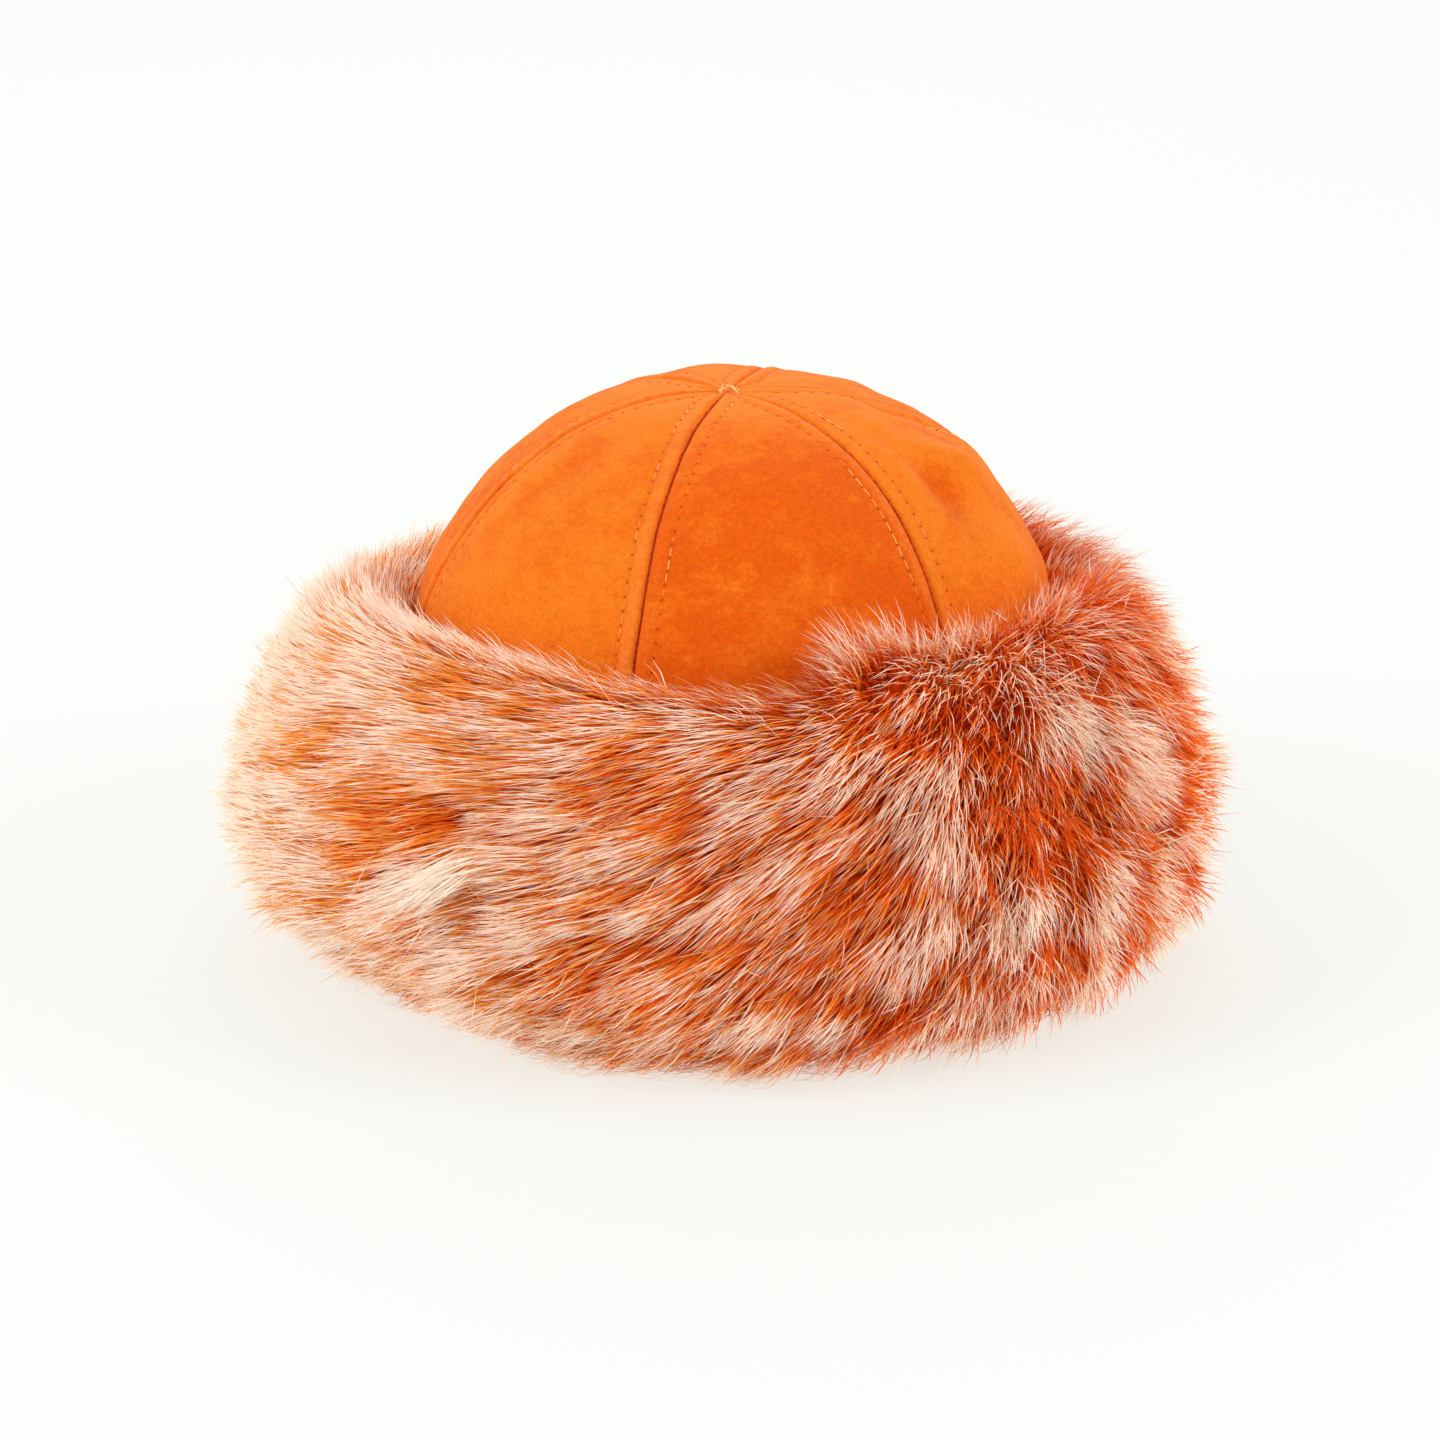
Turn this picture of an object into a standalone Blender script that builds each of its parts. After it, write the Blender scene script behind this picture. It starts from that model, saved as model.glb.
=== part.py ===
"""Fur toque: a crown of six suede gores inside a wide turned-up fur cuff.

Metres, +Z up, with the floor that the cuff rests on at z = 0 and the crown's axis on Z.
Azimuth is in degrees round that axis, 0 at the front (-Y) and positive towards +X.
"""

from math import acos, atan2, cos, degrees, exp, hypot, pi, radians, sin

import bpy
import bmesh
from mathutils import Vector

# The crown
HEAD_RADIUS = 0.0923            # inside of the rim, for a head 58 cm round
SUEDE = 0.0015                  # thickness of the suede
CROWN_TOP = 0.1750              # apex above the floor
CROWN_GIRDLE = 0.070            # height at which the crown is widest
CROWN_SWELL = 0.0045            # how much wider it is there than at its rim
RIM_LIFT = 0.004                # rim of the crown above the floor
APEX_OPENING = 0.0012           # radius at which the gores' points end
GORE_PUFF = 0.0016              # how far a gore's middle stands out past its seams
CROWN_SINK = 0.0026             # how far the gores' meeting point sinks below the round top
CROWN_LEAN = 0.0031             # how far that point leans to the front
DENT = 0.0032                   # depth of the deepest dent
GORES = 6
FIRST_SEAM = -77.0              # azimuth of one seam
SEAM_GAP = 0.0005               # between two gores' outer faces; it narrows inwards

# The fur cuff
CUFF_REACH = 0.0550             # crown's girdle to the fullest point of the fur
CUFF_HEIGHT = 0.115             # floor to the crest of the fur
CUFF_BELLY = 0.038              # height of the fullest point
CUFF_LIP = 0.105                # height at which the fur meets the crown
CREST_REACH = 0.016             # crown's girdle to the crest
FOOT_REACH = 0.012              # crown's girdle to the outer edge of the foot
CUFF_GAP = 0.0003               # between the cuff and the crown
LIP_MARGIN = 0.002              # least height from the lip down to a row of the crown behind it

# The locks of the fur
LOCK_LENGTH = 0.058
LOCK_WIDTH = 0.019
LOCK_THICKNESS = 0.0045
LOCK_RISE = 0.0050              # how far a lock's tip stands off the fur behind it
LOCK_ROWS_APART = 0.0210
LOCKS_APART = 0.049
LOCK_FALL = 16.0                # degrees by which a lock points down as it goes round
LOCK_CLEARANCE = 0.0015         # the lowest point of a lock above the floor

# How finely the surfaces are divided
GORE_COLUMNS = 8
WALL_ROWS = 3
DOME_ROWS = 12
LIP_STEPS = 3
UPPER_STEPS = 6
LOWER_STEPS = 5

# Crown dents and humps: place, spread, and height as a share of DENT
DENTS = (
    # azimuth, climb, spread round, spread up, share
    (64.0, 0.685, 9.0, 0.055, -1.00),
    (73.0, 0.620, 8.0, 0.040, -0.50),
    (78.0, 0.700, 9.0, 0.050, 0.75),
    (82.0, 0.800, 8.0, 0.040, 0.45),
    (95.0, 0.740, 6.0, 0.035, -0.50),
    (69.0, 0.540, 12.0, 0.045, 0.60),
    (-48.0, 0.700, 16.0, 0.100, -0.45),
    (12.0, 0.600, 16.0, 0.100, 0.30),
    (-165.0, 0.680, 18.0, 0.080, -0.50),
    (140.0, 0.660, 14.0, 0.080, 0.40),
    (-97.0, 0.460, 38.0, 0.080, 0.28),
    (-97.0, 0.580, 38.0, 0.080, -0.40),
    (-97.0, 0.700, 38.0, 0.080, -0.54),
    (-97.0, 0.820, 38.0, 0.080, -0.28),
    (97.0, 0.460, 38.0, 0.080, 1.14),
    (97.0, 0.580, 38.0, 0.080, 0.37),
    (97.0, 0.700, 38.0, 0.080, 0.32),
    (97.0, 0.820, 38.0, 0.080, -0.96),
    (180.0, 0.800, 60.0, 0.120, 0.96),
)

# Sections of a lock: place along it, width, rise of its edges and top, and depth of its keel
LOCK_FORM = (
    # along, width, rise, top, keel
    (0.00, 0.50, -0.95, 0.10, 1.60),
    (0.35, 1.00, -0.10, 0.45, 1.10),
    (0.72, 0.66, 0.45, 0.40, 0.60),
)

# Form of the cuff round the crown, as shares of its sizes; its tuck is how flat the underside is
CUFF_FORM = (
    # azimuth, reach, crest height, belly height, lip height, tuck
    (-150.0, 1.00, 0.94, 1.00, 0.96, 1.20),
    (-115.0, 1.01, 0.94, 1.05, 0.96, 1.35),
    (-80.0, 1.02, 1.00, 1.10, 1.01, 1.45),
    (-50.0, 1.00, 1.03, 1.15, 1.02, 1.45),
    (-20.0, 0.97, 1.01, 1.00, 1.00, 1.10),
    (8.0, 0.96, 0.98, 0.95, 0.97, 1.00),
    (32.0, 0.98, 1.08, 1.00, 1.06, 1.00),
    (65.0, 1.00, 1.07, 1.05, 1.06, 1.10),
    (95.0, 1.00, 1.01, 1.12, 1.02, 1.20),
    (130.0, 0.98, 1.01, 1.05, 1.01, 1.20),
    (175.0, 0.98, 0.97, 1.00, 0.98, 1.20),
)

RIM_RADIUS = HEAD_RADIUS + SUEDE
GIRDLE_RADIUS = RIM_RADIUS + CROWN_SWELL
GORE_ANGLE = 360.0 / GORES
WALL_SHARE = 0.30               # share of a meridian's climb that is the crown's wall
DOME_FULLNESS = 0.93            # 1 makes the dome's meridian an ellipse, less is fuller
TOP_FULLNESS = 0.93             # the same for how flat the top is
RIGHT_FULLNESS = 0.21           # by how much the dome is fuller on its right
RIGHT_MIDDLE = 85.0             # azimuth at which it is fullest
SHOULDER_SLOPE = 1.25           # how flat the fur's shoulder is, where 1 is an ellipse
PUFF_FLATNESS = 0.7             # under 1 spreads a gore's puff towards its seams
WALL_FADE = 0.20                # climb above the wall over which puff and dents set in
APEX_FADE = 0.15                # climb below the apex over which they end
SINK_SPREAD = 0.22              # climb below the apex over which the sink ends
LEAN_FROM = 0.50                # climb at which the crown begins to lean
LEAN_CURVE = 1.5                # how late it leans most
FIRST_LOCKS = 0.75              # where the first row of locks is rooted, between lip and crest
LAST_LOCKS = 0.55               # where the last row may be rooted, between belly and foot
QUARTER_ARC = 1.11              # length of a quarter circle as a share of its chord
CLIMB_STEP = 0.002              # climb over which the crown's slope is taken
PATH_STEP = 0.001               # distance over which the fur's slope is taken


def clear_scene():
    """Remove what the scene starts with."""
    for thing in list(bpy.data.objects):
        bpy.data.objects.remove(thing, do_unlink=True)


def new_collection(name):
    """Add a collection to the scene."""
    collection = bpy.data.collections.new(name)
    bpy.context.scene.collection.children.link(collection)
    return collection


def new_object(name, bm, collection, material):
    """Turn a bmesh into an object of the collection."""
    mesh = bpy.data.meshes.new(name)
    bm.to_mesh(mesh)
    bm.free()
    mesh.shade_smooth()
    mesh.materials.append(material)
    thing = bpy.data.objects.new(name, mesh)
    collection.objects.link(thing)
    return thing


def principled(name, colour, roughness, sheen):
    """A plain material with its colour in linear RGB."""
    material = bpy.data.materials.new(name)
    material.use_nodes = True
    material.diffuse_color = (*colour, 1.0)
    shader = material.node_tree.nodes["Principled BSDF"]
    shader.inputs["Base Color"].default_value = (*colour, 1.0)
    shader.inputs["Roughness"].default_value = roughness
    shader.inputs["Metallic"].default_value = 0.0
    shader.inputs["Sheen Weight"].default_value = sheen
    return material


def angle_between(first, second):
    """Signed degrees from the second azimuth to the first, within half a turn."""
    return (first - second + 180.0) % 360.0 - 180.0


def polar(azimuth, radius, height):
    """The point at an azimuth, a distance from the axis and a height."""
    turn = radians(azimuth)
    return Vector((radius * sin(turn), -radius * cos(turn), height))


def bell(offset, spread):
    """A smooth hump, 1 in the middle."""
    return exp(-(offset / spread) ** 2)


def dome_fullness(azimuth):
    """The dome's fullness on one side."""
    side = max(0.0, cos(radians(angle_between(azimuth, RIGHT_MIDDLE))))
    return DOME_FULLNESS - RIGHT_FULLNESS * side ** 2


def meridian(azimuth, climb):
    """Radius and height of the smooth crown, from its rim (climb 0) to its apex (1)."""
    if climb < WALL_SHARE:
        share = climb / WALL_SHARE
        radius = RIM_RADIUS + CROWN_SWELL * sin(share * pi / 2)
        return radius, RIM_LIFT + (CROWN_GIRDLE - RIM_LIFT) * share
    turn = min(1.0, (climb - WALL_SHARE) / (1.0 - WALL_SHARE)) * pi / 2
    radius = GIRDLE_RADIUS * max(0.0, cos(turn)) ** dome_fullness(azimuth)
    height = CROWN_GIRDLE + (CROWN_TOP - CROWN_GIRDLE) * sin(turn) ** TOP_FULLNESS
    return radius, height


def crown_relief(azimuth, climb):
    """How far the suede stands out of the smooth crown: the gores' puff and the dents."""
    across = (azimuth - FIRST_SEAM) % GORE_ANGLE / GORE_ANGLE
    puff = GORE_PUFF * sin(across * pi) ** PUFF_FLATNESS
    dents = 0.0
    for dent_azimuth, dent_climb, spread_round, spread_up, share in DENTS:
        round_hump = bell(angle_between(azimuth, dent_azimuth), spread_round)
        dents += DENT * share * round_hump * bell(climb - dent_climb, spread_up)
    above_wall = min(1.0, max(0.0, (climb - WALL_SHARE) / WALL_FADE))
    below_apex = min(1.0, max(0.0, (1.0 - climb) / APEX_FADE))
    return (puff + dents) * above_wall * below_apex


def crown_point(azimuth, climb, lift=0.0):
    """A point of the crown's outer face, or a distance in front of it."""
    radius, height = meridian(azimuth, climb)
    low = meridian(azimuth, max(0.0, climb - CLIMB_STEP))
    high = meridian(azimuth, min(1.0, climb + CLIMB_STEP))
    slope = atan2(low[0] - high[0], high[1] - low[1])
    out = crown_relief(azimuth, climb) + lift
    point = polar(azimuth, radius + out * cos(slope), height + out * sin(slope))
    leaning = max(0.0, (climb - LEAN_FROM) / (1.0 - LEAN_FROM))
    point.y -= CROWN_LEAN * leaning ** LEAN_CURVE
    point.z -= CROWN_SINK * bell(1.0 - climb, SINK_SPREAD)
    return point


def climb_to(azimuth, height):
    """The climb at which the smooth crown reaches a height."""
    low, high = 0.0, 1.0
    for _ in range(40):
        middle = (low + high) / 2
        if meridian(azimuth, middle)[1] < height:
            low = middle
        else:
            high = middle
    return low


def gore_climb(azimuth, row):
    """The climb of one of a gore's rows, from its rim to its point by the apex."""
    if row <= WALL_ROWS:
        return WALL_SHARE * row / WALL_ROWS
    last_turn = acos((APEX_OPENING / GIRDLE_RADIUS) ** (1 / dome_fullness(azimuth)))
    top = WALL_SHARE + (1.0 - WALL_SHARE) * last_turn / (pi / 2)
    return WALL_SHARE + (top - WALL_SHARE) * (row - WALL_ROWS) / DOME_ROWS


def cuff_form(azimuth):
    """The cuff's shares at an azimuth, read smoothly between the rows of CUFF_FORM."""
    count = len(CUFF_FORM)
    for index in range(count):
        row, following = CUFF_FORM[index], CUFF_FORM[(index + 1) % count]
        span = (following[0] - row[0]) % 360.0
        along = (azimuth - row[0]) % 360.0
        if along <= span:
            blend = (1.0 - cos(along / span * pi)) / 2
            return [a + (b - a) * blend for a, b in zip(row[1:], following[1:])]
    return list(CUFF_FORM[0][1:])


def cuff_corners(azimuth):
    """Radius and height of the lip, crest, belly and foot of the cuff's section."""
    reach, crest_share, belly_share, lip_share, _ = cuff_form(azimuth)
    lip_point = crown_point(azimuth, climb_to(azimuth, CUFF_LIP * lip_share), CUFF_GAP)
    lip = hypot(lip_point.x, lip_point.y), lip_point.z
    crest = GIRDLE_RADIUS + CREST_REACH * reach, CUFF_HEIGHT * crest_share
    belly = GIRDLE_RADIUS + CUFF_REACH * reach, CUFF_BELLY * belly_share
    foot = GIRDLE_RADIUS + FOOT_REACH, 0.0
    return lip, crest, belly, foot


def quarter(start, end, share, flatness, starts_level):
    """A point of a quarter ellipse from start to end, or of a flatter arc if flatness is over 1."""
    turn = min(1.0, max(0.0, share)) * pi / 2
    away, towards = cos(turn) ** flatness, sin(turn) ** flatness
    if starts_level:
        return start[0] + (end[0] - start[0]) * towards, end[1] + (start[1] - end[1]) * away
    return end[0] + (start[0] - end[0]) * away, start[1] + (end[1] - start[1]) * towards


def arc_lengths(azimuth):
    """Rough lengths of the section's three arcs."""
    corners = cuff_corners(azimuth)
    return [QUARTER_ARC * hypot(b[0] - a[0], b[1] - a[1]) for a, b in zip(corners, corners[1:])]


def fur_point(azimuth, path, lift=0.0):
    """A point of the cuff's fur side, at a distance along it from the lip."""
    lip, crest, belly, foot = cuff_corners(azimuth)
    over, down, under = arc_lengths(azimuth)
    tuck = cuff_form(azimuth)[4]

    def at(distance):
        if distance < over:
            return quarter(lip, crest, distance / over, 1.0, False)
        if distance < over + down:
            return quarter(crest, belly, (distance - over) / down, SHOULDER_SLOPE, True)
        return quarter(belly, foot, (distance - over - down) / under, tuck, False)

    before, after = at(path - PATH_STEP), at(path + PATH_STEP)
    run = hypot(after[0] - before[0], after[1] - before[1])
    radius, height = at(path)
    radius += lift * (before[1] - after[1]) / run
    height += lift * (after[0] - before[0]) / run
    return polar(azimuth, radius, height)


def loft(bm, rings, closed):
    """Join rows of vertices with faces, closed round each row or along the rows."""
    count = len(rings[0])
    last = len(rings) if closed else len(rings) - 1
    for index in range(last):
        row, following = rings[index], rings[(index + 1) % len(rings)]
        for side in range(count):
            nearby = (side + 1) % count
            bm.faces.new((row[side], row[nearby], following[nearby], following[side]))


def add_gore(index, collection, material):
    """One gore of the crown: a grid laid on the crown and given the suede's thickness."""
    seam = FIRST_SEAM + index * GORE_ANGLE
    rows = WALL_ROWS + DOME_ROWS
    bm = bmesh.new()
    bmesh.ops.create_grid(bm, x_segments=GORE_COLUMNS, y_segments=rows, size=0.5)
    for vertex in bm.verts:
        across, up = vertex.co.x + 0.5, (vertex.co.y + 0.5) * rows
        climb = gore_climb(seam, up)
        half_gap = degrees(SEAM_GAP / 2 / meridian(seam, climb)[0])
        azimuth = seam + half_gap + across * (GORE_ANGLE - 2 * half_gap)
        vertex.co = crown_point(azimuth, climb)
    bmesh.ops.recalc_face_normals(bm, faces=bm.faces)
    middle = min(bm.faces, key=lambda face: abs(face.calc_center_median().z - CROWN_GIRDLE))
    centre = middle.calc_center_median()
    if middle.normal.dot(Vector((centre.x, centre.y, 0.0))) < 0:
        bmesh.ops.reverse_faces(bm, faces=bm.faces)
    gore = new_object(f"crown_panel_{index + 1}", bm, collection, material)
    wall = gore.modifiers.new("suede", "SOLIDIFY")
    wall.thickness = SUEDE
    wall.offset = -1.0
    return gore


def hidden_rows():
    """How many of a gore's rows the cuff hides all the way round."""
    lowest_lip = CUFF_LIP * min(row[4] for row in CUFF_FORM) - LIP_MARGIN
    heights = [meridian(0.0, gore_climb(0.0, row))[1] for row in range(WALL_ROWS + DOME_ROWS)]
    return sum(height < lowest_lip for height in heights)


def cuff_section(azimuth):
    """The cuff's whole section at an azimuth, as points round a closed loop."""
    over, down, under = arc_lengths(azimuth)
    points = [fur_point(azimuth, over * step / LIP_STEPS) for step in range(LIP_STEPS)]
    points += [fur_point(azimuth, over + down * step / UPPER_STEPS) for step in range(UPPER_STEPS)]
    points += [fur_point(azimuth, over + down + under * step / LOWER_STEPS)
               for step in range(LOWER_STEPS)]
    points.append(polar(azimuth, GIRDLE_RADIUS + FOOT_REACH, 0.0))
    points.append(polar(azimuth, RIM_RADIUS + CUFF_GAP, 0.0))
    climbs = [gore_climb(azimuth, row) for row in range(hidden_rows())]
    last, lip = climbs[-1], climb_to(azimuth, CUFF_LIP * cuff_form(azimuth)[3])
    climbs += [last + (lip - last) * step / LIP_STEPS for step in range(1, LIP_STEPS)]
    return points + [crown_point(azimuth, climb, CUFF_GAP) for climb in climbs]


def add_backing(collection, material):
    """The cuff's body, lofted round the crown through its sections."""
    columns = GORES * GORE_COLUMNS
    bm = bmesh.new()
    rings = []
    for column in range(columns):
        azimuth = FIRST_SEAM + 360.0 * column / columns
        rings.append([bm.verts.new(point) for point in cuff_section(azimuth)])
    loft(bm, rings, closed=True)
    bmesh.ops.recalc_face_normals(bm, faces=bm.faces)
    return new_object("fur_cuff", bm, collection, material)


def lock_path(azimuth, path, along):
    """Where a lock runs over the fur: its azimuth and its distance from the lip."""
    girth_radius = GIRDLE_RADIUS + CUFF_REACH
    run = LOCK_LENGTH * along
    turned = degrees(run * cos(radians(LOCK_FALL)) / girth_radius)
    return azimuth - turned, path + run * sin(radians(LOCK_FALL))


def lock_point(azimuth, path, lift):
    """A point of a lock, flattened where it would reach the floor."""
    point = fur_point(azimuth, path, lift)
    point.z = max(point.z, LOCK_CLEARANCE)
    return point


def add_lock(bm, azimuth, path):
    """One tapered lock, rooted in the cuff and rising to its free point."""
    rings = []
    for along, width_share, rise, top, keel in LOCK_FORM:
        turned, down = lock_path(azimuth, path, along)
        half_width = LOCK_WIDTH / 2 * width_share
        edge = LOCK_RISE * rise
        corners = ((-half_width, edge), (0.0, edge + LOCK_THICKNESS * top),
                   (half_width, edge), (0.0, -LOCK_THICKNESS * keel))
        rings.append([bm.verts.new(lock_point(turned, down + aside, lift))
                      for aside, lift in corners])
    loft(bm, rings, closed=False)
    bm.faces.new(list(reversed(rings[0])))
    tip = bm.verts.new(lock_point(*lock_path(azimuth, path, 1.0), LOCK_RISE))
    for side in range(len(rings[-1])):
        bm.faces.new((rings[-1][side], rings[-1][(side + 1) % len(rings[-1])], tip))


def add_locks(cutters, material):
    """All the locks, in rows round the cuff from its crest to its underside."""
    bm = bmesh.new()
    over, down, under = arc_lengths(0.0)
    first = over * FIRST_LOCKS
    last = over + down + under * LAST_LOCKS
    rows = int((last - first) / LOCK_ROWS_APART) + 1
    for row in range(rows):
        path = first + row * LOCK_ROWS_APART
        radius = hypot(*fur_point(0.0, path).xy)
        count = int(2 * pi * radius / LOCKS_APART)
        for index in range(count):
            add_lock(bm, 360.0 * (index + (row % 2) / 2) / count, path)
    bmesh.ops.recalc_face_normals(bm, faces=bm.faces)
    locks = new_object("locks", bm, cutters, material)
    locks.hide_render = True
    locks.display_type = "WIRE"
    return locks


def add_cuff(collection, cutters, material):
    """The fur cuff: its body with the locks fused to it."""
    cuff = add_backing(collection, material)
    fuse = cuff.modifiers.new("locks", "BOOLEAN")
    fuse.operation = "UNION"
    fuse.solver = "EXACT"
    fuse.use_self = True
    fuse.object = add_locks(cutters, material)
    return cuff


def main():
    """Build the toque."""
    clear_scene()
    collection = new_collection("fur_toque")
    cutters = new_collection("cutters")
    suede = principled("orange_suede", (0.86, 0.20, 0.018), 0.85, 0.35)
    fur = principled("frosted_fur", (0.62, 0.26, 0.13), 0.75, 0.5)
    for index in range(GORES):
        add_gore(index, collection, suede)
    add_cuff(collection, cutters, fur)


main()
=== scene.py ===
"""Dresses the fur toque: six sewn suede gores inside a wide turned-up cuff of frosted fur.

Metres, +Z up. Azimuth is in degrees round the crown's axis, 0 at the front (-Y) and positive
towards +X. Climb runs up a gore, from 0 at its rim to 1 at the apex. Share runs over the cuff's
section: 0 where the fur meets the crown, 1 at its crest, 2 at its belly and 3 at its foot.
"""

from math import cos, pi, radians, sin

import bpy
import bmesh
import numpy as np
from bpy.props import FloatProperty, FloatVectorProperty, IntProperty, PointerProperty
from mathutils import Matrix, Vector, noise


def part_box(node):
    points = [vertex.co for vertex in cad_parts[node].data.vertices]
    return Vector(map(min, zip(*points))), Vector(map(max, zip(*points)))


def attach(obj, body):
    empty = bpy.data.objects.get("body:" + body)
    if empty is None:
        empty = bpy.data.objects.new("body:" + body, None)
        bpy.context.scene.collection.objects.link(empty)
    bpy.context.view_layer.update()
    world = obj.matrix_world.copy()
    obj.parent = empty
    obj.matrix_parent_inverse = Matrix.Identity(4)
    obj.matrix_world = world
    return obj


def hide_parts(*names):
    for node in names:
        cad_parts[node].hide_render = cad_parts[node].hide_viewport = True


bl_info = {
    "name": "Fur toque",
    "version": (1, 0, 0),
    "blender": (4, 5, 0),
    "location": "View3D > Sidebar > Toque",
    "description": "Sews the suede crown and grows the fur cuff of a toque",
    "category": "Object",
}

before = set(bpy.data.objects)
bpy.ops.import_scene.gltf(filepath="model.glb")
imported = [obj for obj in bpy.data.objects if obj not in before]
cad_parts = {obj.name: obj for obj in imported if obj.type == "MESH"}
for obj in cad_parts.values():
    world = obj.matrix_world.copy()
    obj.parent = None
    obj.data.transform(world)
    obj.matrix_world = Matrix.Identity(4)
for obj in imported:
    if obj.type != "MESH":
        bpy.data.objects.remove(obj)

PANELS = sorted(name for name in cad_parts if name.startswith("crown_panel"))
CUFF = "fur_cuff"
BODY = "root"

# The crown's form, as the frame's gores have it
GORES = len(PANELS)
GORE_ANGLE = 360.0 / GORES
FIRST_SEAM = -77.0              # azimuth of the first gore's first seam
RIM_LIFT = min(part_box(panel)[0].z for panel in PANELS)
CROWN_TOP = 0.175               # top of the crown's round form, from which its middle sinks
CROWN_SINK = 0.0026             # how far it sinks there
CROWN_LEAN = 0.0031             # how far the apex leans to the front
RIM_RADIUS = 0.0938
GIRDLE_RADIUS = 0.0983
CROWN_GIRDLE = 0.07             # height of the girdle, where the crown is widest
SUEDE = 0.0015                  # thickness of the suede
WALL_SHARE = 0.3                # climb at which the wall ends and the dome begins
DOME_FULLNESS = 0.93
TOP_FULLNESS = 0.93
RIGHT_FULLNESS = 0.21
RIGHT_MIDDLE = 85.0
GORE_PUFF = 0.0016              # how far a gore's middle stands out past its seams
PUFF_FLATNESS = 0.7
DENT = 0.0032                   # depth of the deepest dent
WALL_FADE = 0.2
APEX_FADE = 0.15
SINK_SPREAD = 0.22
LEAN_FROM = 0.5
LEAN_CURVE = 1.5
DENTS = (
    # azimuth, climb, spread round, spread up, share of DENT
    (64, 0.685, 9, 0.055, -1),
    (73, 0.62, 8, 0.04, -0.5),
    (78, 0.7, 9, 0.05, 0.75),
    (82, 0.8, 8, 0.04, 0.45),
    (95, 0.74, 6, 0.035, -0.5),
    (69, 0.54, 12, 0.045, 0.6),
    (-48, 0.7, 16, 0.1, -0.45),
    (12, 0.6, 16, 0.1, 0.3),
    (-165, 0.68, 18, 0.08, -0.5),
    (140, 0.66, 14, 0.08, 0.4),
    (-97, 0.46, 38, 0.08, 0.28),
    (-97, 0.58, 38, 0.08, -0.4),
    (-97, 0.7, 38, 0.08, -0.54),
    (-97, 0.82, 38, 0.08, -0.28),
    (97, 0.46, 38, 0.08, 1.14),
    (97, 0.58, 38, 0.08, 0.37),
    (97, 0.7, 38, 0.08, 0.32),
    (97, 0.82, 38, 0.08, -0.96),
    (180, 0.8, 60, 0.12, 0.96),
)
# Soft folds of the suede, each from one place to another
FOLDS = (
    # azimuth, climb, azimuth, climb, half width, height, in metres
    (68, 0.875, 65, 0.77, 0.0034, 0.0014),
    (65, 0.77, 77, 0.665, 0.0036, 0.0024),
    (92, 0.83, 80, 0.735, 0.004, -0.002),
    (80, 0.735, 88, 0.65, 0.0036, -0.0012),
    (63, 0.735, 65, 0.625, 0.006, -0.0028),
    (66, 0.59, 74, 0.53, 0.008, 0.0016),
    (97, 0.86, 100, 0.7, 0.0022, -0.0012),
    (103, 0.84, 96, 0.64, 0.0022, 0.0012),
    (52, 0.84, 54, 0.64, 0.004, 0.0008),
    (-45, 0.82, -60, 0.64, 0.006, -0.001),
    (-60, 0.78, -66, 0.6, 0.007, 0.0008),
    (-148, 0.86, -170, 0.62, 0.006, -0.0014),
    (130, 0.85, 144, 0.6, 0.005, 0.0013),
    (-110, 0.8, -96, 0.56, 0.006, 0.001),
)

MERIDIAN_LENGTH = 0.195         # from the rim to the apex over the suede
FOLD_RADIUS = 0.07              # of the crown where most folds lie

# The cuff's form, as the frame's cuff has it
CUFF_REACH = 0.055              # girdle to the fullest point of the fur
CUFF_HEIGHT = 0.115             # floor to the crest
CUFF_BELLY = 0.038              # height of the fullest point
CUFF_LIP = 0.105                # height at which the fur meets the crown
CREST_REACH = 0.016
FOOT_REACH = 0.012
CUFF_GAP = 0.0003               # between the cuff and the crown
SHOULDER_SLOPE = 1.25
CUFF_FORM = (
    # azimuth, reach, crest height, belly height, lip height, tuck
    (-150, 1, 0.94, 1, 0.96, 1.2),
    (-115, 1.01, 0.94, 1.05, 0.96, 1.35),
    (-80, 1.02, 1, 1.1, 1.01, 1.45),
    (-50, 1, 1.03, 1.15, 1.02, 1.45),
    (-20, 0.97, 1.01, 1, 1, 1.1),
    (8, 0.96, 0.98, 0.95, 0.97, 1),
    (32, 0.98, 1.08, 1, 1.06, 1),
    (65, 1, 1.07, 1.05, 1.06, 1.1),
    (95, 1, 1.01, 1.12, 1.02, 1.2),
    (130, 0.98, 1.01, 1.05, 1.01, 1.2),
    (175, 0.98, 0.97, 1, 0.98, 1.2),
)

# The pelt under the fur
PELT_LIP = 0.009                # how far below the fur's lip the pelt meets the crown
PELT_CREST = 0.0085             # depth of the pelt under the crest of the fur
PELT_BELLY = 0.009              # under its fullest point
PELT_FOOT = 0.002               # height of the pelt's foot above the floor
PELT_COLUMNS = 480
PELT_ROWS = (16, 52, 34)        # from lip to crest, to belly, to foot
PELT_WALL_ROWS = 4              # up the crown behind it
TUFT_DEPTH = 0.007              # of the creases between the tufts of wool
FUR_SECTORS = 5

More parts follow.
